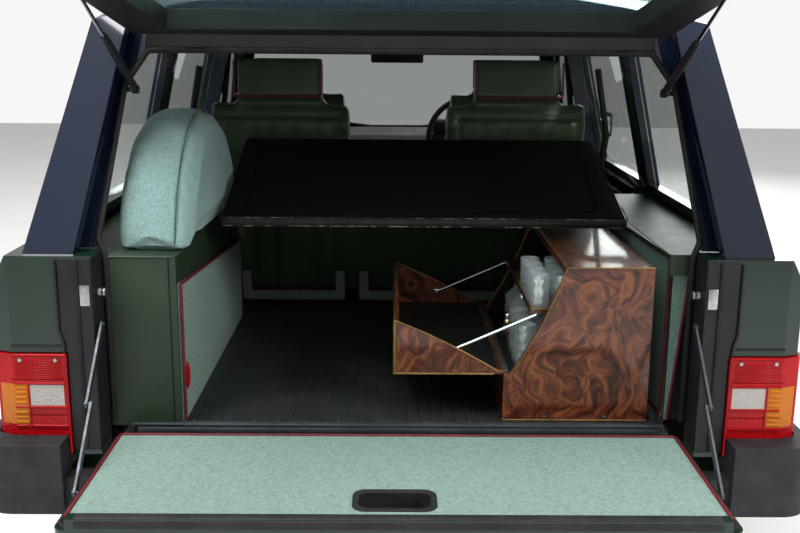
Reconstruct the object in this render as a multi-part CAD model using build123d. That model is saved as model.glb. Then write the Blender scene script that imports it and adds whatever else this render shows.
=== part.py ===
"""Two-box sport utility vehicle with a split tail: tailgate down, glass hatch up, picnic fittings inside.

Every size is in millimetres. While the pieces are made, Y is the station forward of the closed tailgate's
outer face, X is to the vehicle's right and Z is the height above the ground. Only the export moves the
stations, so that the origin lies on the ground under the middle of the vehicle.
"""

import math
import os

from build123d import *

os.makedirs("parts", exist_ok=True)

# Main stations and heights
WHEELBASE = 2540.0
REAR_AXLE = 1080.0
FRONT_AXLE = REAR_AXLE + WHEELBASE
HALF_TRACK = 743.0
HALF_WIDTH = 905.0
SILL_LOW = 455.0
WAIST = 1105.0
ROOF_PEAK = 1780.0
CEILING = ROOF_PEAK + 120.0
ROOF_PEAK_STATION = 1450.0
NOSE = 4275.0
BUMPER_FRONT = 4400.0
BUMPER_REAR = -70.0

# Wheels
TYRE_RADIUS = 367.0
TYRE_WIDTH = 205.0
TYRE_FACETS = 36
RIM_RADIUS = 203.0
RIM_WIDTH = 178.0
HUB_RADIUS = 46.0
KINGPIN_X = 640.0
ARCH_REAR = 430.0
ARCH_FRONT = 436.0

# Body walls and gaps
DOOR_THICK = 95.0
DOOR_FLANGE = 24.0
FRAME_THICK = 38.0
SKIN = 28.0
PANEL_GAP = 6.0
DOOR_GAP = 9.0
STEP_IN = 24.0
JAMB_X = HALF_WIDTH - 237.0
SILL_IN = HALF_WIDTH - 165.0
SEAT_GAP = 0.3
GLASS_THICK = 5.0
GLASS_INSET = 12.0

# Greenhouse
GREEN_FOOT_X = HALF_WIDTH - 83.0
GREEN_SLOPE = 0.2268
REAR_FOOT = 20.0
REAR_SLOPE = 0.4694
SCREEN_FOOT = 2935.0
SCREEN_SLOPE = 0.78
ROOF_CROWN_RADIUS = 3200.0
ROOF_SIDE_RADIUS = 7600.0

# Roof panel, set in from the foot of the greenhouse by its slopes
ROOF_RISE = ROOF_PEAK - WAIST
ROOF_HALF = GREEN_FOOT_X - GREEN_SLOPE * ROOF_RISE - 20.91
ROOF_REAR = REAR_FOOT + REAR_SLOPE * ROOF_RISE - 36.845
ROOF_FRONT = SCREEN_FOOT - SCREEN_SLOPE * ROOF_RISE + 31.5

# Doors in side view
FRONT_DOOR_FRONT = 2895.0
FRONT_DOOR_REAR = 1806.0
REAR_DOOR_FRONT = FRONT_DOOR_REAR - DOOR_GAP
REAR_DOOR_REAR = 1048.0
DOOR_LOW = 478.0
DOOR_TOP = ROOF_PEAK - 148.0
FRAME_SETBACK = 14.0
WINDOW_BORDER = 40.0
HINGE_X = HALF_WIDTH + 3.0
HINGE_PIN = 4.0
HINGE_RADIUS = 9.0
DOOR_HINGE_HEIGHTS = (700.0, 970.0)
BACK_SWEEP = 10.0

# Bonnet
BONNET_HALF = HALF_WIDTH - 170.0
BONNET_REAR = 2962.0
BONNET_FRONT = 4200.0
BONNET_REAR_Z = 1122.0
BONNET_FRONT_Z = 1030.0
BONNET_THICK = 26.0
BONNET_KNUCKLES = (-600.0, 600.0)

# Distance that stands for far beyond the body
FAR = 400.0

# Tailgate, drawn as it lies open
GATE_HINGE_Y = 30.0
GATE_HINGE_Z = 660.0
GATE_HALF = JAMB_X - 28.0
GATE_THICK = 60.0
GATE_REACH = 458.0
GATE_CARPET_HALF = GATE_HALF - 13.0
GATE_CARPET_REACH = 424.0
CARPET_THICK = 6.0

# Hatch, drawn as it stands open
HATCH_HINGE_Y = 262.0
HATCH_HINGE_Z = ROOF_PEAK - 155.0
HATCH_OPEN_DEG = 16.0
HATCH_CLOSED_DEG = 64.9
HATCH_LENGTH = 555.0
HATCH_THICK = 55.0
HATCH_HALF_TOP = HALF_WIDTH - 293.0
HATCH_HALF_LOW = HALF_WIDTH - 200.0
HATCH_RAIL = 85.0
HEADER_LOW = HATCH_HINGE_Z - 90.0
HATCH_SWING = HATCH_OPEN_DEG + HATCH_CLOSED_DEG
HATCH_FOOT_GAP = 8.0
HATCH_KNUCKLES = (-500.0, 500.0)

# Gas struts of the hatch
STRUT_X = HALF_WIDTH - 287.0
STRUT_FOOT_Y = 262.0
STRUT_FOOT_Z = HATCH_HINGE_Z - 178.0
STRUT_ALONG = 470.0
STRUT_OFF = 72.0
STRUT_TUBE_LENGTH = 265.0
STRUT_TUBE_RADIUS = 9.0
STRUT_ROD_RADIUS = 4.0
STRUT_BALL_RADIUS = 6.0

# Folding stays of the tailgate
STAY_TOP_Y = 20.0
STAY_TOP_Z = 947.0
STAY_LOW_Y = -261.0
STAY_LOW_Z = 678.0
STAY_UPPER_X = JAMB_X - 13.0
STAY_LOWER_X = STAY_UPPER_X - 9.5
STAY_THICK = 5.0
STRIKER_Z = 1018.0
STAY_WIDTH = 16.0

# Load space
LOAD_FLOOR = 690.0
FLOOR_SHEET = 16.0
FLOOR_REAR = 70.0
SILL_SWEEP = 40.0
GATE_KNUCKLES = (-475.0, 475.0)
MAT_THICK = 5.0
CABIN_FLOOR = 590.0
JAMB_DEPTH = 78.0
HEELBOARD = 1500.0

# Drinks cabinet
CAB_RIGHT = JAMB_X - 83.0
CAB_LEFT = CAB_RIGHT - 340.0
CAB_FRONT = 108.0
CAB_REAR = 722.0
CAB_TOP = 1061.0
CAB_WALL = 14.0
CAB_HINGE_Z = 806.0
CAB_MOUTH_X = CAB_LEFT + 138.0
CAB_LIP = 16.0
CAB_FLOOR = 790.0
CAB_SHELF = 952.0
FLAP_GAP = 5.0
FLAP_THICK = 10.0
FLAP_KNUCKLES = (130.0, 380.0, 630.0)
STAY_PIVOT_X = CAB_LEFT - 133.0
STAY_PIVOT_Z = 852.0
LID_STAY_LENGTH = 226.0
LID_STAY_DEG = 24.0
LID_STAY_RADIUS = 3.5

# Sides of the load space
BOX_FACE = JAMB_X - 164.0
BOX_WALL = 12.0
LINING = 6.0
LEDGE_FACE = JAMB_X - 54.0
LEDGE_REAR_FACE = JAMB_X - 78.0
ARCH_STEP_FACE = JAMB_X - 26.0
WHEEL_BOX_FACE = JAMB_X - 66.0
LEDGE_OUT = JAMB_X + 112.0
SHEET_HALF = JAMB_X - 64.0
WHEEL_BOX_WALL = 8.0
MAT_LEFT = JAMB_X - 166.0
MAT_RIGHT = JAMB_X - 68.0
SHELF_HALF = JAMB_X - 62.0

# Spare wheel under its cover, parcel shelf and seats
SPARE_OUT = JAMB_X - 13.0
SPARE_IN = JAMB_X - 190.0
SPARE_STATION = 500.0
SPARE_Z = 1012.0
SPARE_RADIUS = 378.0
BOX_TOP = 1087.0
SEAT_HALF = JAMB_X - 68.0
SEAT_SPLIT = -150.0
SHOULDER_LOW = 1240.0

# Frame rails
RAIL_IN = 360.0
RAIL_OUT = 440.0
RAIL_DEPTH = 105.0

# Tow plate, axle lugs, lamps and plate holes
TOW_X = 120.0
TOW_H = 50.0
TOW_Z = 478.0
TOW_HOLE = 6.5
AXLE_LUG = 62.0
LAMP_LOW = 652.0
LAMP_HIGH = 885.0
LAMP_IN = HALF_WIDTH - 172.0
LAMP_POCKET = 4140.0
PLATE_HALF = 130.0
PLATE_Z = 585.0
PLATE_HOLE = 3.0

# Steering column
COLUMN_DROP = 0.3426
WHEEL_AXIS = (0, -1, COLUMN_DROP)
WHEEL_CENTRE = (330, 2440, 1122)

# Raised trim of the skin
LIP_WIDTH = 24.0
LIP_PROUD = 5.0
GUTTER_PROUD = 9.0

GATE_TIP = GATE_HINGE_Y - GATE_REACH
ORIGIN_STATION = (BUMPER_FRONT + GATE_TIP) / 2


def side_slab(points, x_low, x_high):
    """Plate with its outline in the side view: station, height."""
    outline = make_face(Polyline(*points, close=True))
    return extrude(Plane.YZ.offset(x_low) * outline, amount=x_high - x_low)


def front_slab(points, y_low, y_high):
    """Plate with its outline in the front view: x, height."""
    outline = make_face(Polyline(*points, close=True))
    return extrude(Plane.XZ.offset(-y_high) * outline, amount=y_high - y_low)


def plan_slab(points, z_low, z_high):
    """Plate with its outline seen from above: x, station."""
    outline = make_face(Polyline(*points, close=True))
    return extrude(Plane.XY.offset(z_low) * outline, amount=z_high - z_low)


def block(x_low, x_high, y_low, y_high, z_low, z_high):
    """Straight block between two corners."""
    size = (x_high - x_low, y_high - y_low, z_high - z_low)
    return Pos(x_low, y_low, z_low) * Box(*size, align=(Align.MIN, Align.MIN, Align.MIN))


def round_block(corners, radius):
    """Block whose upright edges are rounded."""
    piece = block(*corners)
    return fillet(piece.edges().filter_by(Axis.Z), radius)


def rod(start, end, radius):
    """Round bar from one point to another."""
    start, end = Vector(*start), Vector(*end)
    along = end - start
    plane = Plane(origin=start, z_dir=along)
    return extrude(plane * Circle(radius), amount=along.length)


def cross_rod(x_low, x_high, station, height, radius):
    """Round bar that lies across the vehicle."""
    return rod((x_low, station, height), (x_high, station, height), radius)


def mirrored(shape):
    """The same piece on the other side of the vehicle."""
    return mirror(shape, about=Plane.YZ)


def pair(shape):
    """A piece and its mirror image."""
    return shape + mirrored(shape)


def save(node, shape):
    """Write one node, with the origin under the middle of the vehicle."""
    export_step(Pos(0, -ORIGIN_STATION, 0) * shape, f"parts/{node}.step")


def body_section(inset):
    """Lower body seen from the front: bulged sides with a rounded shoulder."""
    half = [
        (0, SILL_LOW - FAR),
        (HALF_WIDTH - 60, SILL_LOW - FAR),
        (HALF_WIDTH - 60, SILL_LOW),
        (HALF_WIDTH - 33, SILL_LOW + 45),
        (HALF_WIDTH - 10, SILL_LOW + 235),
        (HALF_WIDTH, WAIST - 225),
        (HALF_WIDTH - 8, WAIST - 100),
        (HALF_WIDTH - 25, WAIST - 43),
        (HALF_WIDTH - 60, WAIST + 18),
        (HALF_WIDTH - 60, WAIST + FAR),
        (0, WAIST + FAR),
    ]
    points = half + [(-x, z) for x, z in reversed(half[1:-1])]
    face = make_face(Polyline(*points, close=True))
    if inset:
        face = offset(face, amount=-inset, kind=Kind.INTERSECTION)
    return face


def body_plan(inset):
    """Lower body seen from above, with rounded corners."""
    half = [
        (0, 0),
        (HALF_WIDTH - 53, 0),
        (HALF_WIDTH - 17, 14),
        (HALF_WIDTH, 52),
        (HALF_WIDTH, NOSE - 1025),
        (HALF_WIDTH - 16, NOSE - 155),
        (HALF_WIDTH - 43, NOSE - 60),
        (HALF_WIDTH - 115, NOSE - 13),
        (0, NOSE),
    ]
    points = half + [(-x, y) for x, y in reversed(half[1:-1])]
    face = make_face(Polyline(*points, close=True))
    if inset:
        face = offset(face, amount=-inset, kind=Kind.INTERSECTION)
    return face


def body_block(inset):
    """Solid lower body, smaller by the inset on its sides and ends."""
    long_bar = extrude(Plane.XZ.offset(-NOSE - 100) * body_section(inset), amount=NOSE + 200)
    footprint = extrude(Plane.XY.offset(SILL_LOW) * body_plan(inset), amount=WAIST - SILL_LOW)
    return long_bar & footprint


def roof_disc(inset):
    """Barrel under the roof's skin: the crown arc turned about a far axis below."""
    centre_z = ROOF_PEAK - ROOF_SIDE_RADIUS
    top = ROOF_PEAK - inset
    reach = HALF_WIDTH - 5
    drop = ROOF_CROWN_RADIUS - math.sqrt(ROOF_CROWN_RADIUS**2 - reach**2)
    crown = ThreePointArc((-reach, top - drop), (0, top), (reach, top - drop))
    low = top - 900
    sides = Polyline((reach, top - drop), (reach, low), (-reach, low), (-reach, top - drop))
    face = Plane.XZ * make_face([crown, *sides.edges()])
    turned = revolve(face, axis=Axis((0, 0, centre_z), (1, 0, 0)), revolution_arc=26)
    turned = Pos(0, 0, centre_z) * Rot(X=-13) * Pos(0, 0, -centre_z) * turned
    return Pos(0, ROOF_PEAK_STATION, 0) * turned


def green_sides(inset):
    """Bar between the greenhouse's two leaning sides, smaller by the inset."""
    rise, dip = 2 * FAR, FAR / 2
    foot = GREEN_FOOT_X - inset
    section = [
        (foot + GREEN_SLOPE * dip, WAIST - dip),
        (foot - GREEN_SLOPE * rise, WAIST + rise),
        (-foot + GREEN_SLOPE * rise, WAIST + rise),
        (-foot - GREEN_SLOPE * dip, WAIST - dip),
    ]
    return front_slab(section, -FAR, NOSE)


def green_ends(inset):
    """Bar between the rear slope and the windscreen's rake, smaller by the inset."""
    rise, dip = 2 * FAR, FAR / 2
    rear = REAR_FOOT + inset * math.hypot(1, REAR_SLOPE)
    screen = SCREEN_FOOT - inset * math.hypot(1, SCREEN_SLOPE)
    side = [
        (rear - REAR_SLOPE * dip, WAIST - dip),
        (screen + SCREEN_SLOPE * dip, WAIST - dip),
        (screen - SCREEN_SLOPE * rise, WAIST + rise),
        (rear + REAR_SLOPE * rise, WAIST + rise),
    ]
    return side_slab(side, -1000, 1000)


def green_block(inset):
    """Solid greenhouse above the waist, smaller by the inset on all its faces."""
    return green_sides(inset) & green_ends(inset) & roof_disc(inset)


def door_outline(front, rear, step, upper):
    """Side view of a door, drawn in by a step; upper gives its window frame alone."""
    low, waist, top = DOOR_LOW + step, WAIST, DOOR_TOP - step
    if upper:
        back = rear + FRAME_SETBACK + step
        if front == FRONT_DOOR_FRONT:
            lean = [(front - 66 - step, waist), (front - 66 - step - SCREEN_SLOPE * (top - waist), top)]
        else:
            lean = [(front - step, waist), (front - step, top)]
        return [(back, waist), *lean, (back, top)]
    return [(rear + step, low), (front - step, low), (front - step, waist), (rear + step, waist)]


def window_outline(front, rear):
    """Side view of a door's glass opening."""
    low, top = WAIST + 22, DOOR_TOP - WINDOW_BORDER
    back = rear + FRAME_SETBACK + WINDOW_BORDER
    if front == FRONT_DOOR_FRONT:
        foot = front - 66 - WINDOW_BORDER
        lean = [(foot - SCREEN_SLOPE * (z - WAIST), z) for z in (low, top)]
        return [(back, low), *lean, (back, top)]
    foot = front - WINDOW_BORDER
    return [(back, low), (foot, low), (foot, top), (back, top)]


BODY = body_block(0)
BODY_FLANGE = body_block(DOOR_FLANGE)
BODY_SKIN = body_block(SKIN)
BODY_DOOR = body_block(DOOR_THICK)
GREEN = green_block(0)
GREEN_FRAME = green_block(FRAME_THICK)
GREEN_WALL = green_sides(FRAME_THICK)
BELOW_WAIST = block(-1000, 1000, -200, 4500, 300, WAIST)
ABOVE_WAIST = block(-1000, 1000, -200, 4500, WAIST, CEILING)


def wheel_bore(station, radius, x_low, x_high):
    """Cylinder across a wheel arch."""
    return cross_rod(x_low, x_high, station, TYRE_RADIUS, radius)


def arch_lip(station, radius):
    """Raised lip along a wheel arch, on both sides of the body."""
    skin = body_block(-LIP_PROUD) - body_block(3)
    band = wheel_bore(station, radius + LIP_WIDTH, -1000, 1000) - wheel_bore(station, radius, -1000, 1000)
    return skin & band


def door_pull(rear):
    """Outside handle of a right-hand door: a flat paddle below the waist."""
    pull = block(HALF_WIDTH - 24, HALF_WIDTH + 5, rear + 58, rear + 196, WAIST - 136, WAIST - 102)
    return fillet(pull.edges().filter_by(Axis.X), 9)


def door_panel(front, rear):
    """One right-hand door: outer skin flange, narrower inner box and window frame."""
    flange = (BODY - BODY_FLANGE) & side_slab(door_outline(front, rear, 0, False), 300, 1000)
    inner = (BODY_FLANGE - BODY_DOOR) & side_slab(door_outline(front, rear, STEP_IN, False), 300, 1000)
    lower = (flange + inner) & BELOW_WAIST
    frame = (GREEN - GREEN_WALL) & side_slab(door_outline(front, rear, 0, True), 300, 1000)
    frame = frame - side_slab(window_outline(front, rear), 300, 1000)
    door = lower + (frame & ABOVE_WAIST)
    door = door + door_pull(rear)
    if rear == REAR_DOOR_REAR:
        lip = arch_lip(REAR_AXLE, ARCH_REAR) & side_slab(door_outline(front, rear, 0, False), 300, 1000)
        door = door + lip
        door = door - wheel_bore(REAR_AXLE, ARCH_REAR, 300, 1000)
        door = door - wheel_bore(REAR_AXLE, ARCH_REAR + 45, 300, HALF_WIDTH - DOOR_FLANGE - 8)
    return door


def door_glass(front, rear):
    """Glass of one right-hand door, a little smaller than its opening."""
    outline = make_face(Polyline(*window_outline(front, rear), close=True))
    outline = offset(outline, amount=-SEAT_GAP, kind=Kind.INTERSECTION)
    through = extrude(Plane.YZ.offset(300) * outline, amount=700)
    return (green_sides(GLASS_INSET) - green_sides(GLASS_INSET + GLASS_THICK)) & through


def mirror_head():
    """Door mirror on its arm, standing on the front corner of the right-hand front door."""
    foot_y, foot_z = 2700.0, WAIST + 55
    foot_x = GREEN_FOOT_X - 30
    arm = rod((foot_x, foot_y, foot_z), (foot_x + 88, foot_y, foot_z), 14)
    shell = Pos(foot_x + 153, foot_y, foot_z + 10) * Box(165, 62, 122)
    shell = fillet(shell.edges().filter_by(Axis.Y), 22)
    glass = block(foot_x + 80, foot_x + 226, foot_y - 40, foot_y - 27, foot_z - 40, foot_z + 60)
    return arm + (shell - glass)


def door_hinge(front, post_x, setback=0.0):
    """Right-hand door's two hinges: the lugs on its post, the lugs on the door and the room cut for them."""
    post, door, room = Part(), Part(), Part()
    pin_y = front - setback
    for z in DOOR_HINGE_HEIGHTS:
        post = post + rod((HINGE_X, pin_y, z - 26), (HINGE_X, pin_y, z + 26), HINGE_PIN)
        for low in (z - 26, z + 14):
            high = low + 12
            post = post + rod((HINGE_X, pin_y, low), (HINGE_X, pin_y, high), HINGE_RADIUS)
            post = post + block(HINGE_X - 3, HINGE_X, pin_y, front + 7, low, high)
            post = post + block(post_x, HINGE_X, front + 3, front + 7, low, high)
            room = room + rod((HINGE_X, pin_y, low - 1), (HINGE_X, pin_y, high + 1), HINGE_RADIUS + 5)
        lug = rod((HINGE_X, pin_y, z - 13), (HINGE_X, pin_y, z + 13), HINGE_RADIUS)
        leaf = block(HINGE_X - 36, HINGE_X, pin_y - HINGE_RADIUS, pin_y, z - 13, z + 13)
        bore = rod((HINGE_X, pin_y, z - 14), (HINGE_X, pin_y, z + 14), HINGE_PIN + SEAT_GAP)
        door = door + (lug + leaf - bore)
    return post, door, room


DOORS = {
    "front_door": (FRONT_DOOR_FRONT, FRONT_DOOR_REAR),
    "rear_door": (REAR_DOOR_FRONT, REAR_DOOR_REAR),
}


def make_doors():
    """Four doors and their glass."""
    for name, (front, rear) in DOORS.items():
        panel = door_panel(front, rear)
        if name == "front_door":
            sail = [(2662, WAIST), (2795, WAIST), (2690, WAIST + 134), (2662, WAIST + 134)]
            panel = panel + (side_slab(sail, 300, 1000) & (GREEN - GREEN_WALL)) + mirror_head()
        setback = HINGE_RADIUS if name == "rear_door" else 0
        lugs, room = door_hinge(front, 0, setback)[1:]
        panel = (panel - room) + lugs
        glass = door_glass(front, rear)
        if name == "front_door":
            glass = glass - side_slab([(2661, WAIST), (2900, WAIST), (2661, WAIST + 280)], 700, 900)
        save(f"{name}_right", panel)
        save(f"{name}_left", mirrored(panel))
        save(f"{name}_glass_right", glass)
        save(f"{name}_glass_left", mirrored(glass))


def hatch_plane(along, off, opened=True):
    """Station and height of a point on the hatch: along from its hinge, off its outer face."""
    if opened:
        angle = math.radians(180 - HATCH_OPEN_DEG)
    else:
        angle = math.radians(180 + HATCH_CLOSED_DEG)
    y = HATCH_HINGE_Y + along * math.cos(angle) - off * math.sin(angle)
    z = HATCH_HINGE_Z + along * math.sin(angle) + off * math.cos(angle)
    return y, z


def hatch_frame_plane(opened=True):
    """Plane in the hatch's outer face: its x is across, its y runs from the hinge to the lower edge."""
    y0, z0 = hatch_plane(0, 0, opened)
    y1, z1 = hatch_plane(0, -1, opened)
    return Plane(origin=(0, y0, z0), x_dir=(1, 0, 0), z_dir=(0, y1 - y0, z1 - z0))


def hatch_shape(outline_half_top, outline_half_low, start, end, off_low, off_high):
    """Tapered plate of the hatch between two distances from its hinge and two depths under its face."""
    plane = hatch_frame_plane()
    sign = 1 if (plane.to_local_coords(Vector(0, *hatch_plane(1, 0)))).Y > 0 else -1
    points = [
        (-outline_half_top, sign * start),
        (outline_half_top, sign * start),
        (outline_half_low, sign * end),
        (-outline_half_low, sign * end),
    ]
    face = plane.offset(-off_low) * make_face(Polyline(*points, close=True))
    return extrude(face, amount=-(off_high - off_low))


def make_hatch():
    """Frame and glass of the raised hatch, with its strut studs."""
    outer = hatch_shape(HATCH_HALF_TOP, HATCH_HALF_LOW, 4, HATCH_LENGTH, 8, HATCH_THICK)
    rail = HATCH_RAIL
    inner = hatch_shape(HATCH_HALF_TOP - rail, HATCH_HALF_LOW - rail, 48, HATCH_LENGTH - 60, 0, 80)
    frame = outer - inner
    y, z = hatch_plane(STRUT_ALONG, STRUT_OFF)
    y_in, z_in = hatch_plane(STRUT_ALONG, HATCH_THICK - 6)
    post = rod((STRUT_X + 22, y_in, z_in), (STRUT_X + 22, y, z), 7)
    ball = rod((STRUT_X + 25, y, z), (STRUT_X + 8, y, z), STRUT_BALL_RADIUS)
    frame = frame + pair(post + ball)
    turn = Pos(0, HATCH_HINGE_Y, HATCH_HINGE_Z) * Rot(X=-HATCH_SWING) * Pos(0, -HATCH_HINGE_Y, -HATCH_HINGE_Z)
    under = turn * block(-1000, 1000, -300, 400, 800, GATE_HINGE_Z + GATE_REACH + HATCH_FOOT_GAP)
    frame = frame - under
    for x in HATCH_KNUCKLES:
        knuckle = cross_rod(x - 15, x + 15, HATCH_HINGE_Y, HATCH_HINGE_Z, 9.5)
        plate = Pos(x, 0, 0) * hatch_shape(15, 15, -6, 20, 8, 20)
        bore = cross_rod(x - 16, x + 16, HATCH_HINGE_Y, HATCH_HINGE_Z, HINGE_PIN + SEAT_GAP)
        frame = frame + (knuckle + plate - bore)
    save("hatch_frame", frame)
    glass = hatch_shape(HATCH_HALF_TOP - 6, HATCH_HALF_LOW - 6, 10, HATCH_LENGTH - 6, 1.5, 8 - SEAT_GAP)
    save("hatch_glass", glass - under)


def make_struts():
    """Gas struts: tubes on the body and rods that reach the hatch."""
    y1, z1 = hatch_plane(STRUT_ALONG, STRUT_OFF)
    foot = Vector(STRUT_X, STRUT_FOOT_Y, STRUT_FOOT_Z)
    head = Vector(STRUT_X, y1, z1)
    along = (head - foot).normalized()
    eye = rod(foot - Vector(7, 0, 0), foot + Vector(7, 0, 0), 10)
    eye_hole = rod(foot - Vector(8, 0, 0), foot + Vector(8, 0, 0), STRUT_BALL_RADIUS + SEAT_GAP)
    tube = rod(foot + along * 8, foot + along * STRUT_TUBE_LENGTH, STRUT_TUBE_RADIUS)
    bore = rod(foot + along * 18, foot + along * (STRUT_TUBE_LENGTH + 1), STRUT_ROD_RADIUS + SEAT_GAP)
    save("strut_tubes", pair((eye + tube) - eye_hole - bore))
    head_eye = rod(head - Vector(7, 0, 0), head + Vector(7, 0, 0), 9)
    head_hole = rod(head - Vector(8, 0, 0), head + Vector(8, 0, 0), STRUT_BALL_RADIUS + SEAT_GAP)
    shaft = rod(foot + along * (STRUT_TUBE_LENGTH - 20), head - along * 7, STRUT_ROD_RADIUS)
    save("strut_rods", pair((head_eye + shaft) - head_hole))


def make_tailgate():
    """Lowered tailgate: pressed shell, carpet with its handle recess."""
    z_face = GATE_HINGE_Z + GATE_THICK / 2
    y_tip = GATE_HINGE_Y - GATE_REACH
    shell = block(-GATE_HALF, GATE_HALF, y_tip, GATE_HINGE_Y - 12, z_face - GATE_THICK, z_face - CARPET_THICK)
    shell = fillet(shell.edges().filter_by(Axis.Z).group_by(Axis.Y)[0], 22)
    lip = block(-GATE_HALF + 24, GATE_HALF - 24, y_tip, y_tip + 26, z_face - CARPET_THICK, z_face + 16)
    recess = round_block((-85, 67, -354, -273, z_face - 40, z_face + 20), 24)
    barrel = cross_rod(430, 520, GATE_HINGE_Y, GATE_HINGE_Z, 9)
    leaf = block(430, 520, 10, GATE_HINGE_Y, GATE_HINGE_Z - 9, GATE_HINGE_Z)
    hinge = pair(barrel + leaf - cross_rod(429, 521, GATE_HINGE_Y, GATE_HINGE_Z, HINGE_PIN + SEAT_GAP))
    pin = pair(cross_rod(GATE_HALF - 4, STAY_LOWER_X + STAY_THICK + 3, STAY_LOW_Y, STAY_LOW_Z, 4.5))
    save("tailgate_shell", (shell + lip + hinge + pin) - recess)
    y_carpet = GATE_HINGE_Y - GATE_CARPET_REACH
    carpet = block(-GATE_CARPET_HALF, GATE_CARPET_HALF, y_carpet, 14, z_face - CARPET_THICK, z_face)
    carpet = fillet(carpet.edges().filter_by(Axis.Z).group_by(Axis.Y)[0], 30)
    low = z_face - CARPET_THICK
    cup_outer = round_block((-92, 74, -361, -266, low - 1, z_face + 3), 28)
    save("tailgate_carpet", carpet - cup_outer)
    cup = round_block((-84.7, 66.7, -353.7, -273.3, z_face - 39.7, z_face + 2), 23)
    rim = round_block((-91.7, 73.7, -360.7, -266.3, low, z_face + 2), 27)
    hollow = round_block((-79, 61, -348, -279, z_face - 34, z_face + 5), 20)
    save("tailgate_handle", (cup + rim) - hollow)


def flat_link(start, end, x_low):
    """Flat steel link with round ends between two points of the side view."""
    length = math.dist(start, end)
    angle = math.degrees(math.atan2(end[1] - start[1], end[0] - start[0]))
    bar = Pos(length / 2, 0) * SlotCenterToCenter(length, STAY_WIDTH)
    hole = Circle(4.5 + SEAT_GAP)
    outline = bar - hole - Pos(length, 0) * hole
    plane = Plane(origin=(x_low, start[0], start[1]), x_dir=(0, 1, 0), z_dir=(1, 0, 0))
    return extrude(plane * (Rot(Z=angle) * outline), amount=STAY_THICK)


def make_stays():
    """Two-link folding stays: the upper pair on the jambs, the lower pair on the tailgate."""
    top = (STAY_TOP_Y, STAY_TOP_Z)
    low = (STAY_LOW_Y, STAY_LOW_Z)
    mid = ((top[0] + low[0]) / 2, (top[1] + low[1]) / 2)
    upper = flat_link(top, mid, STAY_UPPER_X)
    rivet = cross_rod(STAY_UPPER_X, STAY_LOWER_X + 1, mid[0], mid[1], 4.5) + cross_rod(
        STAY_UPPER_X, STAY_UPPER_X + STAY_THICK + 2, mid[0], mid[1], 6.5
    )
    save("stay_upper_links", pair(upper + rivet))
    save("stay_lower_links", pair(flat_link(low, mid, STAY_LOWER_X)))


def bonnet_z(station, drop=0.0):
    """Height of the bonnet's centre line, less a drop."""
    share = (station - BONNET_REAR) / (BONNET_FRONT - BONNET_REAR)
    return BONNET_REAR_Z + share * (BONNET_FRONT_Z - BONNET_REAR_Z) - drop


def make_bonnet():
    """Bonnet with raised corners and a turned-down nose."""
    rear, front = BONNET_REAR, BONNET_FRONT
    nose = bonnet_z(front)
    top = [(rear, bonnet_z(rear)), (front, nose), (front + 46, nose - 26), (front + 62, nose - 74)]
    low = [(front + 40, nose - 74), (front + 26, nose - 44), (front - 20, nose - BONNET_THICK)]
    panel = side_slab([*top, *low, (rear, bonnet_z(rear, BONNET_THICK))], -BONNET_HALF, BONNET_HALF)
    start = rear + 260
    crest = [(start, bonnet_z(start)), (front, nose + 22), (front + 46, nose - 6), (front + 50, nose - 40)]
    ridge = side_slab([*crest, (start, bonnet_z(start, 10))], BONNET_HALF - 120, BONNET_HALF)
    ends = (rear + 60, front - 60)
    deep = [(y, bonnet_z(y, 50)) for y in ends]
    shallow = [(y, bonnet_z(y, BONNET_THICK - 4)) for y in reversed(ends)]
    ribs = side_slab(deep + shallow, 470, 500)
    bonnet = panel + pair(ridge) + pair(ribs)
    for x in BONNET_KNUCKLES:
        bonnet = bonnet - cross_rod(x - 30, x + 30, BONNET_REAR, BONNET_REAR_Z, 12)
        low, high = BONNET_REAR_Z - BONNET_THICK, BONNET_REAR_Z - 4
        plate = block(x - 15, x + 15, BONNET_REAR, BONNET_REAR + 20, low, high)
        knuckle = cross_rod(x - 15, x + 15, BONNET_REAR, BONNET_REAR_Z, 7) + plate
        bore = cross_rod(x - 16, x + 16, BONNET_REAR, BONNET_REAR_Z, HINGE_PIN + SEAT_GAP)
        bonnet = bonnet + (knuckle - bore)
    save("bonnet", bonnet)


def make_wings():
    """Front wings with their arches."""
    shell = (BODY - BODY_SKIN) & BELOW_WAIST
    span = block(0, 1000, FRONT_DOOR_FRONT + PANEL_GAP, NOSE, 300, WAIST)
    wing = (shell & span) + (arch_lip(FRONT_AXLE, ARCH_FRONT) & span)
    edge, outer = BONNET_HALF + 8, HALF_WIDTH - 25
    rear, front = BONNET_REAR - 60, BONNET_FRONT + 15
    top = plan_slab([(edge, rear), (outer, rear), (outer, front - 105), (edge, front)], 900, WAIST)
    wing = wing + (top & BODY)
    rear, front = BONNET_REAR, BONNET_FRONT + 80
    crest = [(rear - 80, WAIST + 5), (rear, BONNET_REAR_Z - 22), (front, BONNET_FRONT_Z - 27)]
    wing = wing - side_slab([(rear - 80, WAIST + 95), *crest, (front, WAIST + 95)], 0, 1000)
    front = BONNET_FRONT + 20
    hollow = [(2000, 800), (rear - 100, BONNET_REAR_Z - 52), (rear, BONNET_REAR_Z - 52)]
    hollow += [(front, BONNET_FRONT_Z - 55), (front, 800)]
    wing = wing - side_slab(hollow, BONNET_HALF - 60, HALF_WIDTH - 55)
    wing = wing - wheel_bore(FRONT_AXLE, ARCH_FRONT, 300, 1000)
    wing = wing - block(0, BONNET_HALF + 8, 2000, 4500, 300, 1300)
    wing = wing - block(-10, 1000, 3984, 4500, 300, 668)
    wing = wing - block(0, HALF_WIDTH - 33, LAMP_POCKET, 4500, 664, 952)
    save("front_wings", pair(wing + door_hinge(FRONT_DOOR_FRONT, HINGE_X - 34)[0]))


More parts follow.
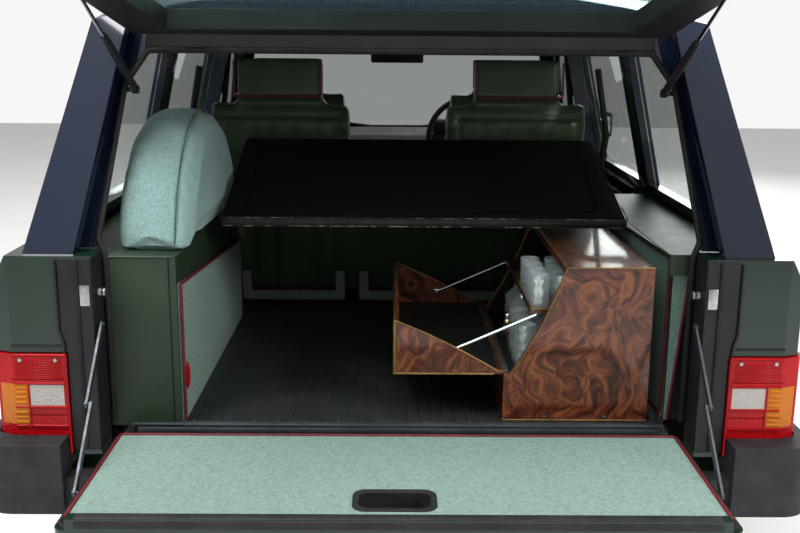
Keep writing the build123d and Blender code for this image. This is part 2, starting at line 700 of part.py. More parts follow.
def make_quarters():
    """Rear quarters: side wall behind the rear door, jamb beside the tailgate and lamp pocket."""
    shell = (BODY - body_block(60)) & BELOW_WAIST
    span = block(0, 1000, -50, REAR_DOOR_REAR - 12, 300, WAIST)
    wall = shell & span & block(JAMB_X, 1000, -50, 2000, 300, 1200)
    jamb = block(JAMB_X, HALF_WIDTH - 25, 0, JAMB_DEPTH, 640, WAIST) & BODY
    quarter = wall + jamb + (arch_lip(REAR_AXLE, ARCH_REAR) & span)
    quarter = quarter - wheel_bore(REAR_AXLE, ARCH_REAR, 300, 1000)
    quarter = quarter - block(JAMB_X + 60, 1000, -50, 42, LAMP_LOW - 3, LAMP_HIGH + 3)
    quarter = quarter - block(0, 1000, -50, 120, 300, 648)
    stud = cross_rod(JAMB_X - 14, JAMB_X + 10, 30, STRIKER_Z, 8)
    stud = stud + cross_rod(JAMB_X - 16, JAMB_X - 12, 30, STRIKER_Z, 12)
    pivot = cross_rod(STAY_UPPER_X - 3, JAMB_X + 4, STAY_TOP_Y, STAY_TOP_Z, 4.5)
    save("rear_quarters", pair(quarter + stud + pivot))


def make_tail_lamps():
    """Tail lamps that wrap the rear corners, with bands for each light."""
    outer = body_block(-6) & block(LAMP_IN, 1000, -50, 42 - SEAT_GAP, LAMP_LOW, LAMP_HIGH)
    grooves = [block(LAMP_IN + 8, 1000, -50, -3, z, z + 4) for z in (708, 742, 826)]
    lamp = outer
    for groove in grooves:
        lamp = lamp - groove
    save("tail_lamps", pair(lamp))


def make_frame():
    """Body frame: sills, pillars, cant rails and headers."""
    shell = GREEN - GREEN_FRAME
    ring = shell & ABOVE_WAIST
    for front, rear in DOORS.values():
        outline = door_outline(front, rear, 0, True)
        ring = ring - grown(outline, DOOR_GAP, -1000, 1000)
    middle = (FRONT_DOOR_REAR - DOOR_GAP - FRAME_SETBACK - 60, FRONT_DOOR_REAR + 60)
    ring = ring - block(-1000, 1000, *middle, WAIST, DOOR_TOP + DOOR_GAP)
    back = REAR_DOOR_REAR + FRAME_SETBACK
    ring = ring - block(-1000, 1000, back - DOOR_GAP - BACK_SWEEP, back, WAIST, DOOR_TOP + DOOR_GAP)
    ring = ring - side_slab(quarter_window(), -1000, 1000)
    ring = ring - screen_cut(0)
    ring = ring - tail_cut()
    ring = ring - roof_cut(0)
    post = (green_sides(FRAME_THICK + PANEL_GAP) - green_sides(FRAME_THICK + PANEL_GAP + 50)) & GREEN_FRAME
    b_post = post & block(-1000, 1000, FRONT_DOOR_REAR - 62, FRONT_DOOR_REAR + 46, WAIST + PANEL_GAP, CEILING)
    post_face = body_section(DOOR_THICK + PANEL_GAP) - body_section(DOOR_THICK + 66)
    low_post = extrude(Plane.XZ.offset(-FRONT_DOOR_REAR - 46) * post_face, amount=108)
    low_post = low_post & block(-1000, 1000, 0, 4000, CABIN_FLOOR, WAIST + 40)
    top_tie = post & block(-1000, 1000, ROOF_REAR + 120, ROOF_FRONT, DOOR_TOP + 4, CEILING)
    top_tie = top_tie - roof_cut(0)
    sill = block(SILL_IN, HALF_WIDTH - 25, 1500, FRONT_DOOR_FRONT, SILL_LOW, DOOR_LOW - PANEL_GAP) & BODY
    sill_box = block(SILL_IN, SILL_IN + 15, 1500, FRONT_DOOR_FRONT, SILL_LOW, CABIN_FLOOR)
    behind = block(-1000, 1000, 0, 1000, WAIST, CEILING)
    land = (green_ends(66) - green_ends(80)) & green_block(FRAME_THICK - 2) & behind
    header = (green_ends(66) - green_ends(112)) & green_sides(FRAME_THICK - 2) & roof_disc(SKIN + SEAT_GAP)
    header = header & block(-1000, 1000, 0, 1000, HEADER_LOW, CEILING)
    gutter = green_sides(-GUTTER_PROUD) - green_sides(2)
    gutter = gutter & block(-1000, 1000, 330, 2380, DOOR_TOP + 32, DOOR_TOP + 42)
    frame = ring + b_post + low_post + top_tie + pair(sill + sill_box)
    frame = frame + (land - tail_cut()) + header + gutter
    stud_end = STRUT_X + 98
    frame = frame + pair(cross_rod(STRUT_X - 7, stud_end, STRUT_FOOT_Y, STRUT_FOOT_Z, STRUT_BALL_RADIUS))
    for x in HATCH_KNUCKLES:
        frame = frame - cross_rod(x - 18, x + 18, HATCH_HINGE_Y, HATCH_HINGE_Z, 15)
        frame = frame + cross_rod(x - 26, x + 26, HATCH_HINGE_Y, HATCH_HINGE_Z, HINGE_PIN)
        y, z = HATCH_HINGE_Y, HATCH_HINGE_Z
        for low in (x - 27, x + 17):
            frame = frame + block(low, low + 10, y - 5, y + 16, z - 5, z + 16)
    post = door_hinge(REAR_DOOR_FRONT, HALF_WIDTH - 117, HINGE_RADIUS)[0]
    return frame + pair(post)


def grown(points, amount, x_low, x_high):
    """Slab of an outline made larger all round."""
    face = offset(make_face(Polyline(*points, close=True)), amount=amount, kind=Kind.INTERSECTION)
    return extrude(Plane.YZ.offset(x_low) * face, amount=x_high - x_low)


def quarter_window():
    """Side view of the fixed window behind the rear door."""
    low, high = WAIST + 26, ROOF_PEAK - 220
    front = REAR_DOOR_REAR - 78
    lean = 165 + REAR_FOOT
    rear = [(lean + REAR_SLOPE * (z - WAIST), z) for z in (high, low)]
    return [*rear, (front, low), (front, high + 30), (lean + 260, high + 30)]


def screen_cut(border):
    """Opening of the windscreen, seen from the front and cut through the rake."""
    low, high = WAIST + 40 + border, ROOF_PEAK - 125 - border
    half_low, half_high = GREEN_FOOT_X - 87 - border, ROOF_HALF - 33 - border
    outline = [(-half_low, low), (half_low, low), (half_high, high), (-half_high, high)]
    return front_slab(outline, 2300, 3300)


def tail_cut():
    """Opening of the hatch between the rear pillars."""
    low, high = WAIST - 60, ROOF_PEAK - 146
    wide, narrow = HATCH_HALF_LOW + 17, HATCH_HALF_TOP + 12
    seat = front_slab([(-wide, low), (wide, low), (narrow, high), (-narrow, high)], -300, 700)
    depth = REAR_FOOT + 72
    slant = [(depth + REAR_SLOPE * rise, WAIST + rise) for rise in (-200, 560)]
    outer = side_slab([(-300, WAIST - 205), *slant, (-300, WAIST + 560)], -1000, 1000)
    half = [(HATCH_HALF_LOW - 15, low), (GATE_HALF, HEADER_LOW - 75), (HATCH_HALF_TOP - 22, HEADER_LOW)]
    mouth = front_slab(half + [(-x, z) for x, z in reversed(half)], -300, 700)
    return (seat & outer) + mouth


def roof_cut(gap):
    """Plan of the roof panel."""
    half = ROOF_HALF + gap
    return block(-half, half, ROOF_REAR - gap, ROOF_FRONT + gap, ROOF_PEAK - 220, CEILING)


def make_roof():
    """Roof panel with its crown."""
    skin = (GREEN - green_block(SKIN)) & roof_cut(-SEAT_GAP)
    return skin


def make_body():
    """Frame and roof."""
    save("body_frame", make_frame())
    save("roof_panel", make_roof())


def make_glass():
    """Windscreen and the two fixed rear side windows."""
    screen = (green_ends(GLASS_INSET) - green_ends(GLASS_INSET + GLASS_THICK)) & screen_cut(SEAT_GAP) & GREEN
    face = make_face(Polyline(*quarter_window(), close=True))
    face = offset(face, amount=-SEAT_GAP, kind=Kind.INTERSECTION)
    layer = green_sides(GLASS_INSET) - green_sides(GLASS_INSET + GLASS_THICK)
    pane = layer & extrude(Plane.YZ.offset(300) * face, amount=700)
    save("fixed_glass", screen + pair(pane))


def make_floor():
    """Floor sheets, wheel boxes and transmission tunnel."""
    half = SILL_IN - SEAT_GAP
    cabin = block(-half, half, HEELBOARD, 2900, CABIN_FLOOR - 15, CABIN_FLOOR)
    riser = block(-SEAT_HALF, SEAT_HALF, HEELBOARD, HEELBOARD + 12, CABIN_FLOOR - 15, LOAD_FLOOR - MAT_THICK)
    top, low = LOAD_FLOOR - MAT_THICK, LOAD_FLOOR - MAT_THICK - FLOOR_SHEET
    load_sheet = block(-SHEET_HALF, SHEET_HALF, FLOOR_REAR, HEELBOARD + 12, low, top)
    tunnel = block(-190, 190, 1980, 2900, CABIN_FLOOR - 15, 730)
    tunnel = tunnel - block(-178, 178, 1970, 2990, CABIN_FLOOR - 20, 718)
    floor = cabin + riser + load_sheet
    floor = floor - block(-178, 178, 1992, 2990, CABIN_FLOOR - 40, CABIN_FLOOR + 10) + tunnel
    inside, outside = SHEET_HALF, SHEET_HALF + WHEEL_BOX_WALL
    drum_end = HALF_WIDTH - 115
    drum = wheel_bore(REAR_AXLE, ARCH_REAR + 8, inside, drum_end)
    drum = drum - wheel_bore(REAR_AXLE, ARCH_REAR, outside, drum_end + 10)
    drum = drum & block(inside, drum_end + 10, 500, 1700, low, 900)
    side = wheel_bore(REAR_AXLE, ARCH_REAR + 8, inside, outside)
    side = side & block(inside, outside + 8, 500, 1700, 575, 900)
    floor = floor - pair(wheel_bore(REAR_AXLE, ARCH_REAR, outside, HALF_WIDTH - 5))
    floor = floor + pair(drum + side)
    trough = cross_rod(-SHEET_HALF, SHEET_HALF, GATE_HINGE_Y, GATE_HINGE_Z, SILL_SWEEP + 7)
    trough = trough - cross_rod(-SHEET_HALF - 1, SHEET_HALF + 1, GATE_HINGE_Y, GATE_HINGE_Z, SILL_SWEEP)
    trough = trough & block(-700, 700, GATE_HINGE_Y - 4, FLOOR_REAR + 20, 600, top)
    closed_face = GATE_HINGE_Y + GATE_THICK / 2 + PANEL_GAP
    trough = trough - block(-700, 700, GATE_HINGE_Y - 5, closed_face, GATE_HINGE_Z + HINGE_RADIUS, top + 1)
    floor = floor + trough
    for x in GATE_KNUCKLES:
        floor = floor + cross_rod(x - 60, x + 60, GATE_HINGE_Y, GATE_HINGE_Z, HINGE_PIN)
        for low in (x - 63, x + 47):
            lug = cross_rod(low, low + 16, GATE_HINGE_Y, GATE_HINGE_Z, 9)
            leg = block(low, low + 16, GATE_HINGE_Y, FLOOR_REAR + 4, GATE_HINGE_Z - 9, GATE_HINGE_Z)
            floor = floor + lug + leg
    save("floor_pan", floor)
    mat = block(-MAT_LEFT, MAT_RIGHT, FLOOR_REAR, 1100, top, LOAD_FLOOR)
    save("load_mat", mat)


def rail_line(offset_z):
    """Height of the frame rail's lower face along the vehicle, moved up by an offset."""
    stations = [(84, 548), (1330, 548), (1560, 440), (3020, 440), (3260, 520), (4180, 520)]
    return [(y, z + offset_z) for y, z in stations]


def make_chassis():
    """Ladder frame with kicked-up ends, cross tubes, outriggers and a tow plate."""
    outline = rail_line(0) + list(reversed(rail_line(RAIL_DEPTH)))
    rails = pair(side_slab(outline, RAIL_IN, RAIL_OUT))
    cross = block(-600, 600, 60, 135, 548, 606)
    tubes = [
        cross_rod(-RAIL_OUT + 5, RAIL_OUT - 5, y, z, 34) for y, z in ((660, 600), (1900, 500), (4090, 572))
    ]
    gearbox = block(-RAIL_IN - 5, RAIL_IN + 5, 2600, 2690, 440, 470)
    frame = rails + cross + gearbox
    for tube in tubes:
        frame = frame + tube
    outriggers = [pair(block(RAIL_OUT - 5, SILL_IN - SEAT_GAP, y, y + 60, 455, 530)) for y in (1640, 2780)]
    posts = ((300, 650, 669), (1900, 540, 575), (2740, 540, 575))
    mounts = [pair(rod((400, y, z), (400, y, top), 28)) for y, z, top in posts]
    for extra in outriggers + mounts:
        frame = frame + extra
    for y, z in ((REAR_AXLE, 641), (FRONT_AXLE, 613)):
        frame = frame + pair(block(RAIL_OUT - 5, 565, y - 62, y + 62, z, z + 12))
    plate = block(-110, 110, 60, 74, TOW_Z - 50, 560)
    frame = frame + plate
    for x in (-TOW_X / 2, TOW_X / 2):
        for z in (TOW_Z - TOW_H / 2, TOW_Z + TOW_H / 2):
            frame = frame - rod((x, 40, z), (x, 90, z), TOW_HOLE)
    save("chassis_frame", frame)


def make_axles():
    """Beam axles with their differential cases."""
    tube = cross_rod(-628, 628, REAR_AXLE, TYRE_RADIUS, 42)
    case = Pos(0, REAR_AXLE, TYRE_RADIUS) * Sphere(118)
    case = case & block(-118, 118, REAR_AXLE - 108, REAR_AXLE + 95, 250, 500)
    flange = pair(cross_rod(600, 640, REAR_AXLE, TYRE_RADIUS, 88))
    stub = pair(cross_rod(620, HALF_TRACK + 50, REAR_AXLE, TYRE_RADIUS, HUB_RADIUS - 14))
    seats = pair(block(450, 560, REAR_AXLE - 55, REAR_AXLE + 55, TYRE_RADIUS + 30, TYRE_RADIUS + 56))
    lugs = pair(block(378, 422, REAR_AXLE, REAR_AXLE + AXLE_LUG, TYRE_RADIUS - 26, TYRE_RADIUS + 26))
    rear = tube + case + flange + stub + seats + lugs
    beam = cross_rod(-588, 588, FRONT_AXLE, TYRE_RADIUS, 42)
    ball = Pos(200, FRONT_AXLE, TYRE_RADIUS) * Sphere(112)
    ball = ball & block(80, 320, FRONT_AXLE - 90, FRONT_AXLE + 104, 250, 500)
    low, high = TYRE_RADIUS - 104, TYRE_RADIUS + 104
    ears = pair(block(560, KINGPIN_X + 34, FRONT_AXLE - 36, FRONT_AXLE + 36, low, high))
    gap = pair(block(592, 720, FRONT_AXLE - 40, FRONT_AXLE + 40, TYRE_RADIUS - 78, TYRE_RADIUS + 78))
    ends = [(KINGPIN_X, FRONT_AXLE, TYRE_RADIUS + rise) for rise in (-120, 120)]
    pin = pair(rod(*ends, 16 + SEAT_GAP))
    seats = pair(block(450, 560, FRONT_AXLE - 55, FRONT_AXLE + 55, TYRE_RADIUS + 30, TYRE_RADIUS + 56))
    lugs = pair(block(378, 422, FRONT_AXLE - AXLE_LUG, FRONT_AXLE, TYRE_RADIUS - 26, TYRE_RADIUS + 26))
    front = beam + ball + ears + seats + lugs - gap - pin
    save("axles", rear + front)


def make_knuckles():
    """Steered knuckles: kingpin, block and hub stub."""
    pin = rod((KINGPIN_X, FRONT_AXLE, TYRE_RADIUS - 112), (KINGPIN_X, FRONT_AXLE, TYRE_RADIUS + 112), 16)
    low, high = TYRE_RADIUS - 72, TYRE_RADIUS + 72
    body = block(KINGPIN_X - 30, KINGPIN_X + 40, FRONT_AXLE - 30, FRONT_AXLE + 30, low, high)
    disc = cross_rod(KINGPIN_X + 38, KINGPIN_X + 50, FRONT_AXLE, TYRE_RADIUS, 72)
    stub = cross_rod(KINGPIN_X + 40, HALF_TRACK + 50, FRONT_AXLE, TYRE_RADIUS, HUB_RADIUS - 14)
    knuckle = pin + body + disc + stub
    save("knuckle_right", knuckle)
    save("knuckle_left", mirrored(knuckle))


def tyre(station):
    """Right-hand tyre: a carcass with rounded shoulders, its turn made of flat facets."""
    half = TYRE_WIDTH / 2
    bead = (RIM_RADIUS - 9 + SEAT_GAP) / math.cos(math.pi / TYRE_FACETS)
    tread = [
        (RIM_WIDTH / 2 - 12, bead),
        (half - 6, bead + 26),
        (half, bead + 78),
        (half - 7, TYRE_RADIUS - 34),
        (half - 26, TYRE_RADIUS - 4),
        (half - 44, TYRE_RADIUS),
    ]
    lining = [(half - 34, TYRE_RADIUS - 30), (half - 18, bead + 76)]
    lining += [(half - 34, bead + 16), (half - 40, bead)]
    outer = tread + [(-x, r) for x, r in reversed(tread)]
    profile = outer + [(-x, r) for x, r in reversed(lining)] + lining
    corners = []
    for step in range(TYRE_FACETS):
        angle = 2 * math.pi * step / TYRE_FACETS
        corners.append([(x, r * math.sin(angle), -r * math.cos(angle)) for x, r in profile])
    faces = []
    for step in range(TYRE_FACETS):
        here, there = corners[step - 1], corners[step]
        for spot in range(len(profile)):
            quad = (here[spot - 1], here[spot], there[spot], there[spot - 1])
            faces.append(Face(Wire.make_polygon(quad)))
    return Pos(HALF_TRACK, station, TYRE_RADIUS) * Solid(Shell(faces))


def rim(station):
    """Right-hand alloy wheel: barrel, dished face with five wide windows, hub bore."""
    half = RIM_WIDTH / 2
    barrel = [
        (-half, RIM_RADIUS + 4),
        (-half + 10, RIM_RADIUS - 9),
        (-half + 34, RIM_RADIUS - 9),
        (-10, RIM_RADIUS - 26),
        (half - 34, RIM_RADIUS - 9),
        (half - 10, RIM_RADIUS - 9),
        (half, RIM_RADIUS + 4),
        (half, RIM_RADIUS - 6),
        (half - 12, RIM_RADIUS - 20),
        (-8, RIM_RADIUS - 36),
        (-half, RIM_RADIUS - 20),
    ]
    ring = revolve(make_face(Polyline(*barrel, close=True)), axis=Axis.X)
    bore = HUB_RADIUS - 14 + SEAT_GAP
    dish = [(20, bore), (56, bore), (56, 70), (44, 120), (50, RIM_RADIUS - 26)]
    dish += [(34, RIM_RADIUS - 22), (20, 120), (20, 70)]
    disc = revolve(make_face(Polyline(*dish, close=True)), axis=Axis.X)
    for step in range(5):
        window = Pos(0, 0, 128) * Box(200, 66, 62)
        window = fillet(window.edges().filter_by(Axis.X), 20)
        disc = disc - Rot(X=72 * step) * window
    cap = rod((54, 0, 0), (70, 0, 0), 40)
    cap = fillet(cap.edges().group_by(Axis.X)[-1], 7)
    return Pos(HALF_TRACK, station, TYRE_RADIUS) * (ring + disc + cap)


def make_wheels():
    """Four wheels, each a tyre on a rim."""
    for end, station in (("front", FRONT_AXLE), ("rear", REAR_AXLE)):
        for side in ("right", "left"):
            for kind, maker in (("tyre", tyre), ("rim", rim)):
                shape = maker(station)
                save(f"{kind}_{end}_{side}", shape if side == "right" else mirrored(shape))


def spring(station, low, high):
    """Right-hand coil spring, drawn as its ribbed outline."""
    coils = 6
    step = (high - low) / coils
    points = [(20, low)]
    for coil in range(coils):
        z = low + coil * step
        points += [(38, z), (52, z + step / 2), (38, z + step)]
    points.append((20, high))
    unique = [p for i, p in enumerate(points) if i == 0 or p != points[i - 1]]
    turned = revolve(Plane.XZ * make_face(Polyline(*unique, close=True)), axis=Axis.Z)
    return Pos(503, station, 0) * turned


def make_suspension():
    """Coil springs, dampers and radius arms."""
    rear = spring(REAR_AXLE, TYRE_RADIUS + 56, 641)
    front = spring(FRONT_AXLE, TYRE_RADIUS + 56, 613)
    rear_arm = rod((400, 1500, 446), (400, REAR_AXLE + 30, TYRE_RADIUS), 20)
    rear_arm = rear_arm - block(300, 500, REAR_AXLE, REAR_AXLE + AXLE_LUG + SEAT_GAP, 300, 500)
    front_arm = rod((400, 3160, 418), (400, FRONT_AXLE - 30, TYRE_RADIUS), 20)
    front_arm = front_arm - block(300, 500, FRONT_AXLE - AXLE_LUG - SEAT_GAP, FRONT_AXLE, 300, 500)
    save("suspension", pair(rear) + pair(front) + pair(rear_arm) + pair(front_arm))


def make_driveline():
    """Engine as one plain block, gearbox, transfer case and shafts."""
    engine = block(-300, 300, 3380, 3960, 560, 900)
    lugs = pair(block(290, RAIL_IN, 3640, 3720, 560, 600))
    gearbox = block(-120, 120, 2560, 3380, 470, 640)
    rear_shaft = rod((0, 2430, 430), (0, REAR_AXLE + 96.8, TYRE_RADIUS), 28)
    front_shaft = rod((200, 2590, 412), (200, FRONT_AXLE - 91.6, TYRE_RADIUS), 24)
    transfer = block(-120, 250, 2420, 2594, 400, 500)
    save("driveline", engine + lugs + gearbox + transfer + rear_shaft + front_shaft)


def make_exhaust():
    """Exhaust pipe with its silencer."""
    route = ((3300, 480), (3000, 415), (1700, 415), (1400, 500), (800, 500), (500, 400), (30, 400))
    path = FilletPolyline(*[(-230, y, z) for y, z in route], radius=90)
    start = Plane(origin=path @ 0, z_dir=path % 0)
    pipe = sweep(start * Circle(24), path=path)
    can = block(-310, -150, 1900, 2380, 385, 438)
    can = fillet(can.edges().filter_by(Axis.Y), 22)
    hanger = block(-359.7, -345, 1690, 1710, 405, 470) + block(-350, -235, 1690, 1710, 405, 420)
    tail = block(-375, -235, 290, 310, 393, 407) + block(-375, -361, 290, 310, 393, 547.7)
    save("exhaust", pipe + can + hanger + tail)


def make_tank():
    """Fuel tank under the load floor."""
    tank = block(-190, 340, 180, 620, 450, LOAD_FLOOR - MAT_THICK - FLOOR_SHEET - SEAT_GAP)
    tank = fillet(tank.edges().filter_by(Axis.X), 30)
    save("fuel_tank", tank)


def make_bulkhead():
    """Bulkhead, scuttle and the inner front structure."""
    half = SILL_IN - 2
    wall = block(-half, half, 2900, 2915, CABIN_FLOOR - 15, WAIST - 20)
    wall = wall - block(-178, 178, 2800, 3000, 300, 718)
    top = WAIST - SEAT_GAP
    scuttle = side_slab([(2900, 1085), (2900, top), (2944, top), (2955, 1098), (2955, 1085)], -half, half)
    inner = block(RAIL_OUT - 15, RAIL_OUT - 3, 2915, 4160, 625, 800)
    shelf = block(RAIL_OUT - 15, HALF_WIDTH - 33, 3100, 4120, 812, 822)
    shelf = shelf & BODY_SKIN
    rise = block(RAIL_OUT - 15, RAIL_OUT - 3, 2915, 4160, 800, 822)
    upright = block(BONNET_HALF - 40, BONNET_HALF - 28, 2915, 4120, 822, 985)
    panel = block(-BONNET_HALF, BONNET_HALF, 4120, 4135, 625, 980)
    window = block(-320, 320, 4100, 4150, 650, 930)
    radiator = block(-330, 330, 4085, 4120, 640, 935)
    frame = wall + scuttle + pair(inner + shelf + rise + upright) + (panel - window) + radiator
    for x in BONNET_KNUCKLES:
        frame = frame + cross_rod(x - 26, x + 26, BONNET_REAR, BONNET_REAR_Z, HINGE_PIN)
        for low in (x - 27, x + 17):
            lug = cross_rod(low, low + 10, BONNET_REAR, BONNET_REAR_Z, 7)
            foot = block(low, low + 10, BONNET_REAR - 16, BONNET_REAR, 1092, BONNET_REAR_Z)
            frame = frame + lug + foot
    save("bulkhead", frame)


def make_front():
    """Grille, lamps and front bumper."""
    ring = block(-470, 470, 4240, 4276, 672, 944) - block(-452, 452, 4230, 4290, 690, 926)
    bars = [block(-455, 455, 4248, 4272, z, z + 11) for z in range(708, 920, 27)]
    post = block(-10, 10, 4250, 4268, 685, 930)
    grille = ring + post
    for bar in bars:
        grille = grille + bar
    foot = pair(block(440, 470, 4135, 4242, 760, 800))
    save("grille", grille + foot)
    panel = block(476, 776, 4190, 4240, 672, 944)
    bowl = rod((610, 4135, 808), (610, 4262, 808), 92)
    indicator = block(776, 866, LAMP_POCKET + 10, 4300, 672, 944) & body_block(2)
    lens = rod((610, 4262, 808), (610, 4270, 808), 92)
    lens = fillet(lens.edges().group_by(Axis.Y)[-1], 5)
    save("front_lamps", pair(panel + bowl + lens + indicator))
    corner = [(HALF_WIDTH, 3990), (HALF_WIDTH, 4250), (HALF_WIDTH - 65, BUMPER_FRONT - 28)]
    corner.append((HALF_WIDTH - 205, BUMPER_FRONT))
    back = [(HALF_WIDTH - 105, 4300), (HALF_WIDTH - 45, 4240), (HALF_WIDTH - 33, 3990)]
    left = [(-x, y) for x, y in reversed(corner)] + [(-x, y) for x, y in reversed(back)]
    bumper = plan_slab(left + back + corner, 505, 660)
    bumper = bumper - wheel_bore(FRONT_AXLE, ARCH_FRONT + 8, -1000, 1000)
    brackets = pair(block(RAIL_IN, RAIL_OUT, 4180, 4305, 530, 610))
    bumper = bumper + brackets
    for x in (-PLATE_HALF, PLATE_HALF):
        bumper = bumper - rod((x, BUMPER_FRONT - 30, PLATE_Z), (x, BUMPER_FRONT + 10, PLATE_Z), PLATE_HOLE)
    save("front_bumper", bumper)


def make_rear_bumper():
    """Rear bumper: a low middle bar and raised moulded ends."""
    bar = block(-SILL_IN - 20, SILL_IN + 20, BUMPER_REAR + 20, BUMPER_REAR + 75, 540, 612)
    end = block(SILL_IN - 2, HALF_WIDTH + 21, BUMPER_REAR, 420, 535, 697)
    end = fillet(end.edges().filter_by(Axis.Z).group_by(Axis.Y)[0].group_by(Axis.X)[-1], 70)
    end = end - body_block(-9)
    brackets = pair(block(RAIL_IN, RAIL_OUT, 5, 60, 560, 606))
    save("rear_bumper", bar + pair(end) + brackets)


def seat(x_low, x_high, y_front, y_back, z_low, back_top, lean, rest_x):
    """One seat: cushion, leaning back and a headrest on two posts."""
    cushion = block(x_low, x_high, y_back + 60, y_front, z_low, 925)
    cushion = fillet(cushion.edges().filter_by(Axis.X).group_by(Axis.Z)[-1], 36)
    top = y_back - lean
    foot = [(y_back + 40, z_low), (y_back + 175, z_low)]
    crown = [(top + 175, back_top - 40), (top + 120, back_top)]
    crown += [(top + 60, back_top), (top + 30, back_top - 60)]
    back = side_slab(foot + crown, x_low, x_high)
    low, high = back_top + 14, back_top + 140
    pad = [(top + 40, low), (top + 130, low), (top + 110, high), (top + 50, high)]
    whole = cushion + back + side_slab(pad, rest_x - 138, rest_x + 138)
    for x in (rest_x - 55, rest_x + 55):
        whole = whole + rod((x, top + 85, back_top - 30), (x, top + 85, back_top + 30), 8)
    return whole


def make_seats():
    """Two front seats and the rear bench, split so that its right part is the wider one."""
    front = seat(196, 660, 2360, 1870, CABIN_FLOOR + 80, 1360, 90, 428)
    base = block(200, 600, 1960, 2330, CABIN_FLOOR, CABIN_FLOOR + 82)
    save("front_seats", pair(front + base))
    low = LOAD_FLOOR + 40
    right = seat(SEAT_SPLIT + 4, SEAT_HALF, 1640, 1105, low, 1372, 110, 375)
    right = right - block(SEAT_SPLIT, -SEAT_SPLIT, 900, 1500, SHOULDER_LOW, 1400)
    left = seat(-SEAT_HALF, SEAT_SPLIT - 4, 1640, 1105, low, 1372, 110, -375)
    base = block(40, 520, 1180, 1490, LOAD_FLOOR - MAT_THICK, low + 2)
    save("rear_seats", right + base + left + block(-520, -200, 1180, 1490, LOAD_FLOOR - MAT_THICK, low + 2))


def make_cabin():
    """Dashboard, steering column and centre console."""
    back = 2900 - SEAT_GAP
    outline = [(2560, 960), (2540, 1060), (2600, 1120), (2700, 1150)]
    outline += [(2840, 1104), (back, 1084), (back, 900), (2700, 880)]
    dash = side_slab(outline, 40 - SILL_IN, SILL_IN - 40)
    console = block(-110, 110, 2100, 2760, 730, 900)
    column = rod((330, 2640, 1053.5), (330, 2454.5, 1117.0), 24)
    save("dashboard", dash + console + column)


def make_steering_wheel():
    """Steering wheel with three spokes."""
    ring = revolve(Plane.XZ * (Pos(185, 0) * Circle(13)), axis=Axis.Z)
    hub = Cylinder(48, 30)
    spokes = [Rot(Z=a) * Pos(90, 0, 0) * Box(180, 34, 12) for a in (0, 180, 270)]
    wheel = ring + hub
    for spoke in spokes:
        wheel = wheel + spoke
    plane = Plane(origin=WHEEL_CENTRE, x_dir=(1, 0, 0), z_dir=WHEEL_AXIS)
    save("steering_wheel", plane * wheel)


def make_load_sides():
    """Leather-covered side boxes, their carpets and the spare wheel's soft cover."""
    low, wall = LOAD_FLOOR, BOX_WALL
    left = block(-JAMB_X + 3, -BOX_FACE, 83, 83 + wall, low - MAT_THICK, BOX_TOP)
    inner_wall = block(-BOX_FACE - wall, -BOX_FACE, 83, 1010, low, BOX_TOP)
    ledge = block(-LEDGE_OUT, -BOX_FACE, 83, 1010, BOX_TOP - wall, BOX_TOP)
    right = block(LEDGE_FACE, JAMB_X - 1, 100, 100 + wall, 1046, 1094)
    face, step, arch = LEDGE_REAR_FACE, ARCH_STEP_FACE, WHEEL_BOX_FACE
    plan = [(LEDGE_FACE, 100), (JAMB_X - 1, 100), (LEDGE_OUT, 130), (LEDGE_OUT, 1010), (face, 1010), (face, 520)]
    right_ledge = plan_slab(plan, 1094 - wall, 1094)
    plan = [(step - 8, 150), (step, 150), (step, 600), (arch, 606), (arch, 1010), (arch - 6, 1010), (arch - 6, 560)]
    right_wall = plan_slab(plan, low, 1094 - wall)
    save("side_boxes", (left + inner_wall + ledge) + (right + right_ledge + right_wall))
    outline = [(95, low), (1005, low), (1000, 940), (95, 1022)]
    carpet_left = side_slab(outline, -BOX_FACE, -BOX_FACE + LINING)
    back = arch - 6
    plan = [(step - 8 - LINING, 150), (step - 8, 150), (back, 560), (back, 1010)]
    plan += [(back - LINING, 1010), (back - LINING, 556)]
    carpet_right = plan_slab(plan, low, 1094 - wall - SEAT_GAP)
    save("side_carpets", carpet_left + carpet_right)
    cover = cross_rod(-SPARE_OUT, -SPARE_IN, SPARE_STATION, SPARE_Z, SPARE_RADIUS)
    cover = fillet(cover.edges().filter_by(GeomType.CIRCLE), 34)
    cover = cover & block(-1000, 0, 0, 1000, BOX_TOP, 1500)
    save("spare_cover", cover)


def make_cabinet():
    """Drinks cabinet: its mouth cuts the corner where the flap's side and top strips fit."""
    left, right, front, rear, w = CAB_LEFT, CAB_RIGHT, CAB_FRONT, CAB_REAR, CAB_WALL
    lip, mouth = (left + CAB_LIP, CAB_HINGE_Z), (CAB_MOUTH_X, CAB_TOP)
    bulge = ((lip[0] + mouth[0]) / 2 + 9, (lip[1] + mouth[1]) / 2 - 5)
    floor_corners = [(left, LOAD_FLOOR), (right, LOAD_FLOOR)]
    outline = Polyline(lip, (left, CAB_HINGE_Z), *floor_corners, (right, CAB_TOP), mouth)
    face = make_face([*outline.edges(), ThreePointArc(mouth, bulge, lip)])
    whole = extrude(Plane.XZ.offset(-rear) * face, amount=rear - front)
    room = block(left - 40, right - w, front + w, rear - w, CAB_FLOOR, CAB_TOP - w)
    sill = block(left - 50, left + w, front, rear, LOAD_FLOOR, CAB_HINGE_Z)
    under = block(left + w, right - w, front + w, rear - w, LOAD_FLOOR + w, CAB_FLOOR - w)
    shelf = block(left + 62, right - w + 1, front + w + 16, rear - w - 16, CAB_SHELF - 8, CAB_SHELF)
    cabinet = (whole - (room - sill)) + shelf - under
    for y in FLAP_KNUCKLES:
        cabinet = cabinet - rod((left, y - 1, CAB_HINGE_Z), (left, y + 71, CAB_HINGE_Z), 6)
    save("drinks_cabinet", cabinet + rod((left, front + w, CAB_HINGE_Z), (left, rear - w, CAB_HINGE_Z), 1.8))


